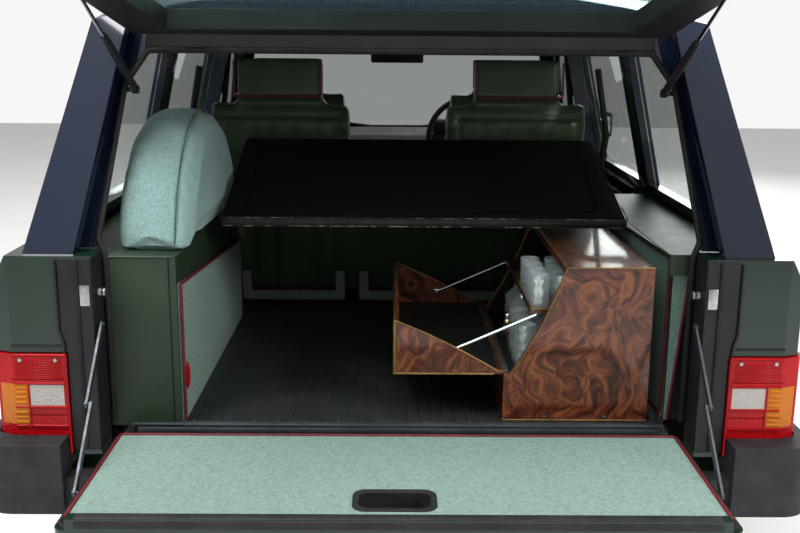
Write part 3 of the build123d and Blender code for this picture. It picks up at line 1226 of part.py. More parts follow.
def lid_stay(y_low):
    """Chrome stay of the flap, hinged on its cheek and sliding in the cabinet."""
    angle = math.radians(LID_STAY_DEG)
    pivot = Vector(STAY_PIVOT_X, y_low, STAY_PIVOT_Z)
    end = pivot + Vector(math.cos(angle), 0, math.sin(angle)) * LID_STAY_LENGTH
    middle = Vector(0, 5, 0)
    eye = rod(pivot, pivot + Vector(0, 10, 0), 8) + rod(pivot + middle, end + middle, LID_STAY_RADIUS)
    return eye - rod(pivot - Vector(0, 5, 0), pivot + Vector(0, 15, 0), 3.5 + SEAT_GAP)


def make_flap():
    """Dropped flap: side panel lying level, top strip standing at its end and two cheeks."""
    hinge, low = CAB_LEFT, CAB_HINGE_Z
    reach = CAB_TOP - CAB_HINGE_Z
    rise = CAB_MOUTH_X - CAB_LEFT - 2 * FLAP_GAP
    far, t = hinge - reach, FLAP_THICK
    tray = block(far, hinge - 3, CAB_FRONT, CAB_REAR, low, low + t)
    tray = fillet(tray.edges().filter_by(Axis.Y).group_by(Axis.X)[-1].group_by(Axis.Z)[0], 2)
    end = block(far, far + t, CAB_FRONT, CAB_REAR, low, low + rise)
    tip, toe = (far, low + rise), (hinge - 12, low + 6)
    bulge = ((tip[0] + toe[0]) / 2 - 6, (tip[1] + toe[1]) / 2 + 10)
    base = Polyline(tip, (far, low), (hinge - 20, low), toe)
    cheek = Plane.XZ * make_face([*base.edges(), ThreePointArc(toe, bulge, tip)])
    flap = tray + end
    for y in (CAB_FRONT, CAB_REAR - t):
        flap = flap + Pos(0, y + t, 0) * extrude(cheek, amount=t)
    for wall, way in ((CAB_FRONT + t, 1), (CAB_REAR - t, -1)):
        inward = Vector(0, 16 * way, 0)
        base = Vector(STAY_PIVOT_X, wall - 2 * way, STAY_PIVOT_Z)
        flap = flap + rod(base, base + inward, 3.5)
    for y in FLAP_KNUCKLES:
        leaf = block(hinge - 10, hinge, y, y + 70, low, low + 4.5)
        knuckle = rod((hinge, y, low), (hinge, y + 70, low), 4.5) + leaf
        flap = flap + (knuckle - rod((hinge, y - 1, low), (hinge, y + 71, low), 1.8 + SEAT_GAP))
    save("cabinet_flap", flap)
    stays = lid_stay(CAB_FRONT + CAB_WALL + 0.3) + lid_stay(CAB_REAR - CAB_WALL - 10.3)
    save("flap_stays", stays)


def tumbler(x, y, z, radius, height):
    """Open drinking glass with a thick foot."""
    bowl = Pos(x, y, z) * Cylinder(radius, height, align=(Align.CENTER, Align.CENTER, Align.MIN))
    room = Pos(x, y, z + 8) * Cylinder(radius - 3, height, align=(Align.CENTER, Align.CENTER, Align.MIN))
    return bowl - room


def make_glassware():
    """Tumblers on the cabinet's shelf and floor, and two decanters behind them."""
    tall = [(x, y, CAB_SHELF, 25, 78) for x in (CAB_LEFT + 87, CAB_LEFT + 147) for y in (180, 240, 300, 360)]
    short = [(x, y, CAB_FLOOR, 27, 62) for x in (CAB_LEFT + 60, CAB_LEFT + 123) for y in (190, 256, 322)]
    tumblers = tall + short
    glasses = Part() + [tumbler(*sizes) for sizes in tumblers]
    for x, y in ((CAB_LEFT + 85, 440), (CAB_LEFT + 85, 540)):
        body = Pos(x, y, CAB_FLOOR) * Cylinder(38, 96, align=(Align.CENTER, Align.CENTER, Align.MIN))
        neck = Pos(x, y, CAB_FLOOR + 96) * Cone(30, 13, 24, align=(Align.CENTER, Align.CENTER, Align.MIN))
        stopper = Pos(x, y, CAB_FLOOR + 130) * Sphere(13)
        glasses = glasses + (body + neck + stopper)
    save("glassware", glasses)


def make_shelf():
    """Loose parcel shelf that leans on the seat backs."""
    outline = [(400, 1106), (408, 1094.3), (440, 1096), (1038, 1240), (1034, 1266), (1005, 1266), (420, 1123)]
    shelf = side_slab(outline, -SPARE_IN + 0.5, SHELF_HALF)
    save("parcel_shelf", shelf)


make_doors()
make_hatch()
make_struts()
make_tailgate()
make_stays()
make_bonnet()
make_wings()
make_quarters()
make_tail_lamps()
make_body()
make_glass()
make_floor()
make_chassis()
make_axles()
make_knuckles()
make_wheels()
make_suspension()
make_driveline()
make_exhaust()
make_tank()
make_bulkhead()
make_front()
make_rear_bumper()
make_seats()
make_cabin()
make_steering_wheel()
make_load_sides()
make_cabinet()
make_flap()
make_glassware()
make_shelf()
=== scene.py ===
# %% [markdown]
# This lesson dresses a imported model of an off-road estate whose split tail stands open. The solids of the
# car are already made to size, so the script only adds finishes, soft pieces, trim and small parts around
# them. We load the model first. Nothing that we add may make the car bigger.

# %% Load the car
import math

import bmesh
import bpy
from mathutils import Matrix, Vector, noise


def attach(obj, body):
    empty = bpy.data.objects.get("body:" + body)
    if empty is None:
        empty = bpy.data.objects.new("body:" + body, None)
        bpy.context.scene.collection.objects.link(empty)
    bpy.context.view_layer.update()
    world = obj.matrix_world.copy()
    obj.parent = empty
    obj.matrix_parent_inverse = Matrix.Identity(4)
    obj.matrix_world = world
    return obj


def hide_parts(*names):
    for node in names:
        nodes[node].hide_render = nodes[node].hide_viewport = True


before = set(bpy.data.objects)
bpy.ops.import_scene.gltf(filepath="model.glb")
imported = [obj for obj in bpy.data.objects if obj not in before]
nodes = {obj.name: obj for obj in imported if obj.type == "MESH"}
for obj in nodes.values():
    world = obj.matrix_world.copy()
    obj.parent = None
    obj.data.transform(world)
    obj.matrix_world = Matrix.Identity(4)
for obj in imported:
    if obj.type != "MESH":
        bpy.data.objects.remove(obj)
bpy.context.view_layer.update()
scene = bpy.context.scene
scene.view_settings.view_transform = "Standard"
TAIL = -1.986


def at(x, station, z):
    """A point given by its station, the distance forward of the closed tailgate's outer face."""
    return Vector((x, station + TAIL, z))


# %% [markdown]
# The photograph was taken from behind the car at eye level, looking a little down into the load space. The
# lens is a short normal one. We build the camera's matrix from three angles, which are easier to
# read and to correct than a table of sixteen numbers.

# %% Camera
CAMERA_PLACE = at(-0.017, -2.119, 1.574)
PITCH = math.radians(12.945)
YAW = math.radians(0.464)
ROLL = math.radians(0.464)
forward = Vector((math.sin(YAW) * math.cos(PITCH), math.cos(YAW) * math.cos(PITCH), -math.sin(PITCH)))
level = Vector((math.cos(YAW), -math.sin(YAW), 0))
upright = level.cross(forward)
across = math.cos(ROLL) * level + math.sin(ROLL) * upright
above = math.cos(ROLL) * upright - math.sin(ROLL) * level
lens = bpy.data.cameras.new("photo_camera")
lens.lens = 45.18
lens.sensor_width = 36
camera = bpy.data.objects.new("photo_camera", lens)
scene.collection.objects.link(camera)
turn = Matrix((across, above, -forward)).transposed().to_4x4()
camera.matrix_world = Matrix.Translation(CAMERA_PLACE) @ turn
scene.camera = camera
print("camera at", tuple(round(v, 3) for v in CAMERA_PLACE))

# %% [markdown]
# A studio floor only has to catch the shadow and stay quiet. The world is a soft dome, and four large lamps
# give the shapes a brighter side. What the camera sees past the floor is plain white, which comes from the
# world's own colour and not from extra light on the car.


# %% Floor, world and lamps
FLOOR_HALF = 14
CAMERA_WHITE = 0.93


def add_node(tree, kind, **settings):
    """A shader node of a kind, with its inputs set by name."""
    node = tree.nodes.new("ShaderNode" + kind)
    for name, value in settings.items():
        node.inputs[name.replace("_", " ")].default_value = value
    return node


def plane_floor(size):
    bm = bmesh.new()
    bmesh.ops.create_grid(bm, x_segments=8, y_segments=8, size=size)
    mesh = bpy.data.meshes.new("studio_floor")
    bm.to_mesh(mesh)
    bm.free()
    floor = bpy.data.objects.new("studio_floor", mesh)
    scene.collection.objects.link(floor)
    return floor


def floor_finish():
    mat = bpy.data.materials.new("studio_floor")
    mat.use_nodes = True
    tree = mat.node_tree
    shader = tree.nodes["Principled BSDF"]
    shader.inputs["Roughness"].default_value = 0.9
    coords = add_node(tree, "TexCoord")
    grain = add_node(tree, "TexNoise", Scale=3)
    ramp = add_node(tree, "ValToRGB")
    ramp.color_ramp.elements[0].color = (0.60, 0.60, 0.59, 1)
    ramp.color_ramp.elements[1].color = (0.66, 0.66, 0.65, 1)
    tree.links.new(coords.outputs["Object"], grain.inputs["Vector"])
    tree.links.new(grain.outputs["Fac"], ramp.inputs["Fac"])
    tree.links.new(ramp.outputs["Color"], shader.inputs["Base Color"])
    return mat


def area_lamp(name, place, target, size, power):
    data = bpy.data.lights.new(name, "AREA")
    data.size = size
    data.energy = power
    lamp = bpy.data.objects.new(name, data)
    scene.collection.objects.link(lamp)
    aim = (target - place).to_track_quat("-Z", "Y")
    lamp.matrix_world = Matrix.Translation(place) @ aim.to_matrix().to_4x4()


def studio_world():
    """A dome that brightens upwards for the car, and plain white for the camera."""
    world = bpy.data.worlds.new("studio")
    scene.world = world
    world.use_nodes = True
    tree = world.node_tree
    sky = tree.nodes["Background"]
    sky.inputs["Color"].default_value = (1, 1, 1, 1)
    path = add_node(tree, "LightPath")
    way = add_node(tree, "TexCoord")
    height = add_node(tree, "SeparateXYZ")
    dome = add_node(tree, "MapRange", From_Min=0.0, From_Max=0.9, To_Min=0.3, To_Max=0.85)
    pick = add_node(tree, "Mix")
    pick.inputs[3].default_value = CAMERA_WHITE
    tree.links.new(way.outputs["Generated"], height.inputs[0])
    tree.links.new(height.outputs[2], dome.inputs["Value"])
    tree.links.new(path.outputs["Is Camera Ray"], pick.inputs["Factor"])
    tree.links.new(dome.outputs["Result"], pick.inputs[2])
    tree.links.new(pick.outputs[0], sky.inputs["Strength"])


floor = plane_floor(FLOOR_HALF)
floor.data.materials.append(floor_finish())
studio_world()
CAR_MIDDLE = Vector((0, 0, 0.8))
TAIL_MIDDLE = at(0, 0.3, 0.9)
area_lamp("key_lamp", Vector((-2.0, -3.4, 6.4)), TAIL_MIDDLE, 2.8, 430)
area_lamp("fill_lamp", Vector((4.4, -5.0, 3.6)), TAIL_MIDDLE, 2.4, 170)
area_lamp("top_lamp", Vector((0, 0.6, 6.0)), CAR_MIDDLE, 5.0, 260)
area_lamp("nose_lamp", Vector((2.5, 7.0, 4.0)), CAR_MIDDLE, 4.0, 260)

# %% [markdown]
# Every finish starts from the same shader with a few plain numbers, and then gets its own grain. A small set
# of helpers keeps that readable: one starts a material, one adds noise on the piece's own coordinates, one
# turns a grey pattern into colours and one turns it into relief.


# %% Helpers for finishes
def start_finish(name, colour, roughness, **sockets):
    """A material with its constant values set on the shader itself."""
    mat = bpy.data.materials.new(name)
    mat.use_nodes = True
    shader = mat.node_tree.nodes["Principled BSDF"]
    shader.inputs["Base Color"].default_value = (*colour, 1)
    shader.inputs["Roughness"].default_value = roughness
    for socket, value in sockets.items():
        shader.inputs[socket.replace("_", " ")].default_value = value
    mat.diffuse_color = (*colour, 1)
    return mat


def soften_edges(mat, radius):
    """Let the light see a small radius on every edge."""
    tree = mat.node_tree
    edge = add_node(tree, "Bevel", Radius=radius)
    edge.samples = 4
    tree.links.new(edge.outputs["Normal"], tree.nodes["Principled BSDF"].inputs["Normal"])


def place_pattern(mat, scale=(1, 1, 1)):
    """The piece's own coordinates, stretched for a pattern."""
    tree = mat.node_tree
    coords = add_node(tree, "TexCoord")
    mapping = add_node(tree, "Mapping", Scale=scale)
    tree.links.new(coords.outputs["Object"], mapping.inputs["Vector"])
    return mapping.outputs["Vector"]


def add_noise(mat, scale, detail=4.0, rough=0.55, stretch=(1, 1, 1)):
    tree = mat.node_tree
    tex = add_node(tree, "TexNoise", Scale=scale, Detail=detail, Roughness=rough)
    tree.links.new(place_pattern(mat, stretch), tex.inputs["Vector"])
    return tex.outputs["Fac"]


def add_cells(mat, scale):
    tree = mat.node_tree
    tex = add_node(tree, "TexVoronoi", Scale=scale)
    tree.links.new(place_pattern(mat), tex.inputs["Vector"])
    return tex.outputs["Distance"]


def colour_by(mat, pattern, *stops):
    """Colours along a grey pattern, each stop a position and a colour."""
    tree = mat.node_tree
    ramp = add_node(tree, "ValToRGB")
    marks = ramp.color_ramp.elements
    while len(marks) < len(stops):
        marks.new(0.5)
    for mark, (position, colour) in zip(marks, stops):
        mark.position = position
        mark.color = (*colour, 1)
    tree.links.new(pattern, ramp.inputs["Fac"])
    tree.links.new(ramp.outputs["Color"], tree.nodes["Principled BSDF"].inputs["Base Color"])
    return ramp.outputs["Color"]


def rough_by(mat, pattern, low, high):
    tree = mat.node_tree
    span = add_node(tree, "MapRange", To_Min=low, To_Max=high)
    tree.links.new(pattern, span.inputs["Value"])
    tree.links.new(span.outputs["Result"], tree.nodes["Principled BSDF"].inputs["Roughness"])


def relief_by(mat, pattern, strength, depth):
    """Bump from a grey pattern; a second call builds on the first."""
    tree = mat.node_tree
    shader = tree.nodes["Principled BSDF"]
    bump = add_node(tree, "Bump", Strength=strength, Distance=depth)
    tree.links.new(pattern, bump.inputs["Height"])
    if shader.inputs["Normal"].links:
        tree.links.new(shader.inputs["Normal"].links[0].from_socket, bump.inputs["Normal"])
    tree.links.new(bump.outputs["Normal"], shader.inputs["Normal"])


# %% [markdown]
# The body is two-tone: a very dark gloss green below the waist and a blue-black above it. Old paint isn't
# one value: large soft patches shift its shade, a faint orange peel breaks the reflections, and dust dulls
# it in places. A clear coat over a dark base gives the deep shine.


# %% Paints
def gloss_paint(name, dark, light):
    mat = start_finish(name, dark, 0.35, Coat_Weight=1.0, Coat_Roughness=0.03, Specular_IOR_Level=0.04)
    soften_edges(mat, 0.005)
    colour_by(mat, add_noise(mat, 2.2, 3), (0.3, dark), (0.75, light))
    rough_by(mat, add_noise(mat, 7, 6), 0.28, 0.5)
    relief_by(mat, add_noise(mat, 420, 1), 0.04, 0.0004)
    return mat


def satin_paint(name, dark, light, roughness=0.45):
    mat = start_finish(name, dark, roughness, Specular_IOR_Level=0.35)
    soften_edges(mat, 0.004)
    colour_by(mat, add_noise(mat, 9, 5), (0.3, dark), (0.8, light))
    rough_by(mat, add_noise(mat, 30, 5), roughness - 0.1, roughness + 0.15)
    relief_by(mat, add_noise(mat, 260, 2), 0.12, 0.0006)
    return mat


green_paint = gloss_paint("gloss_green_paint", (0.004, 0.017, 0.009), (0.007, 0.026, 0.014))
navy_paint = gloss_paint("gloss_navy_paint", (0.004, 0.008, 0.022), (0.006, 0.013, 0.034))
black_paint = satin_paint("satin_black_paint", (0.008, 0.008, 0.009), (0.018, 0.018, 0.02))
chassis_paint = satin_paint("chassis_black", (0.012, 0.012, 0.012), (0.03, 0.028, 0.025), 0.6)
sheet_paint = satin_paint("floor_sheet_paint", (0.03, 0.036, 0.042), (0.06, 0.07, 0.08), 0.5)
castings = satin_paint("casting_black", (0.02, 0.02, 0.02), (0.05, 0.045, 0.04), 0.65)
print("paints:", [m.name for m in bpy.data.materials if "paint" in m.name])

# %% [markdown]
# Grained black plastic and rubber look alike in colour, but not in sheen: plastic has a fine leathery grain
# with soft highlights, rubber is duller and dustier. Both get a cell pattern as relief.


# %% Plastics and rubber
def grained_black(name, dark, light, roughness, grain):
    mat = start_finish(name, dark, roughness, Specular_IOR_Level=0.3)
    soften_edges(mat, 0.006)
    colour_by(mat, add_noise(mat, 18, 6), (0.35, dark), (0.75, light))
    relief_by(mat, add_cells(mat, grain), 0.35, 0.0008)
    rough_by(mat, add_noise(mat, 12, 4), roughness - 0.08, roughness + 0.12)
    return mat


trim_plastic = grained_black("grained_black_plastic", (0.012, 0.012, 0.013), (0.025, 0.025, 0.026), 0.5, 900)
bumper_plastic = grained_black("bumper_plastic", (0.014, 0.015, 0.018), (0.03, 0.032, 0.037), 0.55, 620)
seal_rubber = grained_black("seal_rubber", (0.008, 0.008, 0.008), (0.02, 0.02, 0.02), 0.62, 1400)
tyre_rubber = grained_black("tyre_rubber", (0.014, 0.014, 0.014), (0.035, 0.034, 0.032), 0.78, 500)


# %% [markdown]
# The bright metals are zinc plate, the dull steel of the stays, a ground piston rod, polished chrome and
# painted alloy. Zinc is cloudy, so its colour wanders; chrome and the rod stay smooth with only a few fine
# scratches.


# %% Metals
SCRATCH_SCALE = 600


def metal(name, colour, roughness, cloud):
    mat = start_finish(name, colour, roughness, Metallic=1.0)
    dull = tuple(v * cloud for v in colour)
    colour_by(mat, add_noise(mat, 40, 6), (0.3, dull), (0.7, colour))
    rough_by(mat, add_noise(mat, 90, 5), roughness * 0.7, roughness * 1.5)
    relief_by(mat, add_noise(mat, SCRATCH_SCALE, 2, stretch=(1, 1, 0.15)), 0.06, 0.0003)
    return mat


zinc = metal("zinc_plate", (0.55, 0.56, 0.55), 0.34, 0.6)
stay_steel = metal("stay_steel", (0.13, 0.14, 0.155), 0.5, 0.6)
rod_steel = metal("ground_steel", (0.6, 0.6, 0.61), 0.2, 0.85)
chrome = metal("chrome", (0.82, 0.83, 0.84), 0.08, 0.92)
alloy = metal("silver_alloy", (0.5, 0.51, 0.52), 0.38, 0.85)
dull_steel = metal("exhaust_steel", (0.3, 0.28, 0.26), 0.5, 0.55)
brass = metal("brass", (0.62, 0.44, 0.2), 0.25, 0.75)

# %% [markdown]
# Leather has pebbles of one to two millimetres with fine creases between them, so its relief mixes cells and
# noise. The picnic boxes, the seats and the ledges are trimmed in a dark green hide with a soft shine, and
# dark red piping closes every edge.


# %% Leather, carpet and cloth
def hide(name, dark, light, roughness):
    mat = start_finish(name, dark, roughness, Specular_IOR_Level=0.45)
    colour_by(mat, add_noise(mat, 6, 5), (0.3, dark), (0.75, light))
    relief_by(mat, add_cells(mat, 520), 0.3, 0.0007)
    relief_by(mat, add_noise(mat, 45, 5), 0.22, 0.002)
    rough_by(mat, add_noise(mat, 25, 5), roughness - 0.08, roughness + 0.14)
    return mat


def pile_carpet(name, dark, light, sheen=0.2):
    mat = start_finish(name, dark, 0.95, Sheen_Weight=sheen, Sheen_Roughness=0.6, Specular_IOR_Level=0.1)
    colour_by(mat, add_noise(mat, 150, 8, 0.85), (0.36, dark), (0.50, middle(dark, light)), (0.66, light))
    relief_by(mat, add_noise(mat, 330, 4, 0.8), 1.0, 0.004)
    relief_by(mat, add_noise(mat, 12, 5, 0.7), 0.5, 0.008)
    return mat


def middle(dark, light):
    return tuple((a + b) / 2 for a, b in zip(dark, light))


green_hide = hide("green_hide", (0.014, 0.028, 0.014), (0.026, 0.048, 0.024), 0.42)
# The seats use a lighter copy of the green hide: painted light, for the light that falls on the seat backs
# through the open tail and the windows.
seat_hide = hide("seat_hide", (0.026, 0.046, 0.021), (0.045, 0.074, 0.034), 0.36)
sage_carpet = pile_carpet("sage_carpet", (0.10, 0.19, 0.155), (0.31, 0.44, 0.375))
cover_carpet = pile_carpet("cover_carpet", (0.20, 0.35, 0.34), (0.42, 0.60, 0.58))
black_cloth = pile_carpet("black_cloth", (0.0025, 0.0025, 0.003), (0.009, 0.009, 0.010), 0.0)
grey_cloth = pile_carpet("headlining_cloth", (0.3, 0.3, 0.28), (0.42, 0.42, 0.4))
red_piping = hide("red_piping", (0.10, 0.004, 0.008), (0.17, 0.008, 0.014), 0.5)


# %% [markdown]
# The load floor is black rubber with long ribs. Its ridges are real strips further down, so the finish only
# needs grit, scuffs and dust that gathers in soft patches.


# %% Load mat finish
def scuffed_rubber(name):
    mat = start_finish(name, (0.012, 0.012, 0.013), 0.55)
    colour_by(mat, add_noise(mat, 5, 8, 0.7), (0.35, (0.009, 0.009, 0.01)), (0.7, (0.035, 0.036, 0.038)))
    rough_by(mat, add_noise(mat, 14, 6), 0.35, 0.75)
    relief_by(mat, add_noise(mat, 300, 4), 0.3, 0.001)
    return mat


mat_rubber = scuffed_rubber("scuffed_rubber")


# %% [markdown]
# The cabinet is veneered in figured walnut under thick lacquer. Its grain is a pattern of long upright
# streaks, but the coordinates are bent by a slow swirl first, so that the streaks flow and fold round each
# other. A clear coat with little roughness gives the piano shine.


# %% Walnut veneer
def walnut(name, dark, plain, light):
    mat = start_finish(name, plain, 0.4, Coat_Weight=0.8, Coat_Roughness=0.1, Specular_IOR_Level=0.2)
    soften_edges(mat, 0.0015)
    tree = mat.node_tree
    swirl = add_node(tree, "TexNoise", Scale=5.2, Detail=2)
    start = place_pattern(mat)
    tree.links.new(start, swirl.inputs["Vector"])
    bend = add_node(tree, "VectorMath")
    bend.operation = "MULTIPLY_ADD"
    bend.inputs[1].default_value = (0.42, 0.42, 0.20)
    tree.links.new(swirl.outputs["Color"], bend.inputs[0])
    tree.links.new(start, bend.inputs[2])
    squeeze = add_node(tree, "Mapping", Scale=(1.0, 1.0, 0.16))
    tree.links.new(bend.outputs["Vector"], squeeze.inputs["Vector"])
    grain = add_node(tree, "TexNoise", Scale=34, Detail=7, Roughness=0.62, Distortion=0.7)
    tree.links.new(squeeze.outputs["Vector"], grain.inputs["Vector"])
    colour_by(mat, grain.outputs["Fac"], (0.34, dark), (0.49, plain), (0.62, light), (0.70, plain))
    relief_by(mat, grain.outputs["Fac"], 0.02, 0.0003)
    return mat


burl_veneer = walnut("walnut_veneer", (0.018, 0.004, 0.003), (0.115, 0.027, 0.012), (0.27, 0.082, 0.027))
gold_edging = metal("gold_edging", (0.42, 0.25, 0.09), 0.42, 0.55)


# %% [markdown]
# Glass comes in three kinds: the car's panes with a light green tint, the cut crystal of the tumblers, and
# the ribbed lenses of the lamps. Panes get no relief at all, since the eye finds a wavy window at once.


# %% Glass and lenses
GLASS_IOR = 1.45


def clear_glass(name, tint, roughness):
    mat = start_finish(name, tint, roughness, Transmission_Weight=1.0, IOR=GLASS_IOR)
    rough_by(mat, add_noise(mat, 4, 3), roughness, roughness + 0.03)
    return mat


window_glass = clear_glass("window_glass", (0.90, 0.96, 0.93), 0.0)
hatch_pane = clear_glass("hatch_pane", (0.45, 0.68, 0.66), 0.02)
# The tumblers' brightness is painted: a near-white colour, half metallic and half see-through, stands in for
# the highlights and the light that clear crystal lets through.
crystal = start_finish("cut_crystal", (0.90, 0.94, 0.96), 0.05, Metallic=0.45, Alpha=0.5, Coat_Weight=1.0)
rough_by(crystal, add_noise(crystal, 30, 3), 0.03, 0.14)
clear_lens = start_finish("clear_lens", (0.75, 0.77, 0.78), 0.12, Coat_Weight=1.0, Coat_Roughness=0.02)
relief_by(clear_lens, add_noise(clear_lens, 60, 1, stretch=(1, 1, 6)), 0.4, 0.003)


# %% [markdown]
# A tail lamp is one moulded lens with fields of colour: red above, amber on the outer side, a clear field for
# reversing, and red again below. We paint the fields by where they lie on the car, so they wrap round the
# corner with the lens, and a fine ribbed relief stands for the prisms.


# %% Tail lamp lens
LAMP_FIELDS = (
    # colour, inner x, outer x, lowest z, highest z
    ((0.52, 0.15, 0.008), 0.823, 0.886, 0.722, 0.816),
    ((0.44, 0.40, 0.38), 0.743, 0.818, 0.766, 0.814),
)


def inside_span(tree, value, low, high):
    """One where the value lies between the two limits, else nought."""
    test = add_node(tree, "Math")
    test.operation = "COMPARE"
    test.inputs[1].default_value = (low + high) / 2
    test.inputs[2].default_value = (high - low) / 2
    tree.links.new(value, test.inputs[0])
    return test.outputs[0]


def lens_finish():
    mat = start_finish("tail_lens", (0.3, 0.004, 0.006), 0.2, Coat_Weight=0.3, Specular_IOR_Level=0.1)
    colour = colour_by(mat, add_noise(mat, 14, 3), (0.3, (0.33, 0.001, 0.004)), (0.75, (0.46, 0.002, 0.006)))
    tree = mat.node_tree
    split = add_node(tree, "SeparateXYZ")
    tree.links.new(place_pattern(mat), split.inputs[0])
    side = add_node(tree, "Math")
    side.operation = "ABSOLUTE"
    tree.links.new(split.outputs[0], side.inputs[0])
    for field, inner, outer, low, high in LAMP_FIELDS:
        wide = inside_span(tree, side.outputs[0], inner, outer)
        tall = inside_span(tree, split.outputs[2], low, high)
        both = add_node(tree, "Math")
        both.operation = "MULTIPLY"
        tree.links.new(wide, both.inputs[0])
        tree.links.new(tall, both.inputs[1])
        mix = add_node(tree, "Mix")
        mix.data_type = "RGBA"
        tree.links.new(both.outputs[0], mix.inputs["Factor"])
        tree.links.new(colour, mix.inputs[6])
        mix.inputs[7].default_value = (*field, 1)
        colour = mix.outputs[2]
    tree.links.new(colour, tree.nodes["Principled BSDF"].inputs["Base Color"])
    relief_by(mat, add_cells(mat, 160), 0.5, 0.0025)
    return mat


tail_lens = lens_finish()

# %% [markdown]
# The solids that came with the model already have the right shape, so most of them only need the right
# finish. A table from node to finish keeps that in one place, and a check tells us if a node was forgotten.

# %% Finishes of the solids
CORNERS = [(end, side) for end in ("front", "rear") for side in ("left", "right")]
FINISHES = {
    green_paint: ["front_wings", "rear_quarters", "bonnet", "tailgate_shell"]
    + [f"{end}_door_{side}" for end, side in CORNERS],
    navy_paint: ["body_frame", "roof_panel"],
    black_paint: ["hatch_frame", "strut_tubes", "bulkhead"],
    chassis_paint: ["chassis_frame", "suspension", "fuel_tank"],
    sheet_paint: ["floor_pan"],
    castings: ["axles", "driveline", "knuckle_left", "knuckle_right"],
    trim_plastic: ["dashboard", "grille", "tailgate_handle", "steering_wheel"],
    bumper_plastic: ["front_bumper", "rear_bumper"],
    tyre_rubber: [f"tyre_{end}_{side}" for end, side in CORNERS],
    alloy: [f"rim_{end}_{side}" for end, side in CORNERS],
    window_glass: ["fixed_glass"] + [f"{end}_door_glass_{side}" for end, side in CORNERS],
    hatch_pane: ["hatch_glass"],
    clear_lens: ["front_lamps"],
    tail_lens: ["tail_lamps"],
    green_hide: ["side_boxes", "front_seats", "rear_seats"],
    sage_carpet: ["tailgate_carpet", "side_carpets"],
    cover_carpet: ["spare_cover"],
    black_cloth: ["parcel_shelf"],
    mat_rubber: ["load_mat"],
    burl_veneer: ["drinks_cabinet", "cabinet_flap"],
    crystal: ["glassware"],
    stay_steel: ["stay_upper_links", "stay_lower_links"],
    rod_steel: ["strut_rods"],
    chrome: ["flap_stays"],
    dull_steel: ["exhaust"],
}
finished = set()
for finish, names in FINISHES.items():
    for name in names:
        mesh = nodes[name].data
        mesh.materials.clear()
        mesh.materials.append(finish)
        finished.add(name)
print("nodes without a finish:", sorted(set(nodes) - finished))

# %% [markdown]
# New pieces are made in mesh code. A few helpers do the routine work: one turns a bmesh into an object that
# rides on a body of the car, others make a piece of blocks with rounded edges or of round bars, and one makes
# a round bead along a line, for piping, seals and wires.


# %% Helpers for shapes
def keep(bm, name, finish, body="root", smooth=True):
    """Make the mesh an object, with its finish, and let it ride on a body."""
    bmesh.ops.recalc_face_normals(bm, faces=bm.faces)
    mesh = bpy.data.meshes.new(name)
    bm.to_mesh(mesh)
    bm.free()
    for face in mesh.polygons:
        face.use_smooth = smooth
    piece = bpy.data.objects.new(name, mesh)
    scene.collection.objects.link(piece)
    mesh.materials.append(finish)
    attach(piece, body)
    return piece


def sharpen(piece, degrees=35):
    """Keep the creases that are steeper than an angle."""
    piece.data.set_sharp_from_angle(angle=math.radians(degrees))


def add_block(bm, low, high, soft=0.0, segments=2):
    """A block between two corners, with its edges rounded."""
    made = bmesh.ops.create_cube(bm, size=1)["verts"]
    size = Vector(high) - Vector(low)
    middle = (Vector(high) + Vector(low)) / 2
    bmesh.ops.scale(bm, vec=size, verts=made)
    bmesh.ops.translate(bm, vec=middle, verts=made)
    if soft:
        edges = list({edge for vert in made for edge in vert.link_edges})
        bmesh.ops.bevel(
            bm, geom=edges, offset=soft, segments=segments, profile=0.5, affect="EDGES", material=-1
        )


def add_rod(bm, start, end, radius, sides=16):
    """A round bar between two points."""
    start, end = Vector(start), Vector(end)
    along = end - start
    turn = along.to_track_quat("Z", "Y").to_matrix().to_4x4()
    place = Matrix.Translation((start + end) / 2) @ turn
    bmesh.ops.create_cone(
        bm,
        cap_ends=True,
        segments=sides,
        radius1=radius,
        radius2=radius,
        depth=along.length,
        matrix=place,
    )


def blocks(name, finish, *corners, soft=0.0, segments=2, body="root", slot="trim_black", crease=35):
    """One piece made of blocks, each given by its lowest and highest corner."""
    bm = bmesh.new()
    for low, high in corners:
        add_block(bm, low, high, soft, segments)
    piece = keep(bm, name, finish, body)
    if crease:
        sharpen(piece, crease)
    return piece


def rods(name, finish, *bars, sides=12, body="root", slot="trim_black"):
    """One piece made of round bars, each given by its two ends and its radius."""
    bm = bmesh.new()
    for start, end, radius in bars:
        add_rod(bm, start, end, radius, sides)
    piece = keep(bm, name, finish, body)
    sharpen(piece)
    return piece


def evaluated(piece):
    """The mesh that a curve or a modifier gives."""
    return bpy.data.meshes.new_from_object(piece.evaluated_get(bpy.context.evaluated_depsgraph_get()))


def bead(name, points, radius, finish, body="root"):
    """A bead along a smooth line: piping, a rubber seal or a wire."""
    curve = bpy.data.curves.new(name, "CURVE")
    curve.dimensions = "3D"
    curve.bevel_depth = radius
    curve.bevel_resolution = 2
    curve.resolution_u = 4
    curve.use_fill_caps = True
    spline = curve.splines.new("NURBS")
    spline.points.add(len(points) - 1)
    for knot, point in zip(spline.points, points):
        knot.co = (*point, 1)
    spline.order_u = 3
    spline.use_endpoint_u = True
    holder = bpy.data.objects.new(name + "_line", curve)
    scene.collection.objects.link(holder)
    bpy.context.view_layer.update()
    mesh = evaluated(holder)
    bpy.data.objects.remove(holder)
    mesh.name = name
    mesh.materials.clear()
    mesh.materials.append(finish)
    for face in mesh.polygons:
        face.use_smooth = True
    piece = bpy.data.objects.new(name, mesh)
    scene.collection.objects.link(piece)
    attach(piece, body)
    return piece


def piping(name, points, radius, body="root"):
    """A bead in dark red hide, along the edge of leather or carpet."""
    return bead(name, points, radius, red_piping, body)


def gilt(name, points, radius, body="root"):
    """A gilt band along an edge of the cabinet."""
    return bead(name, points, radius, gold_edging, body)


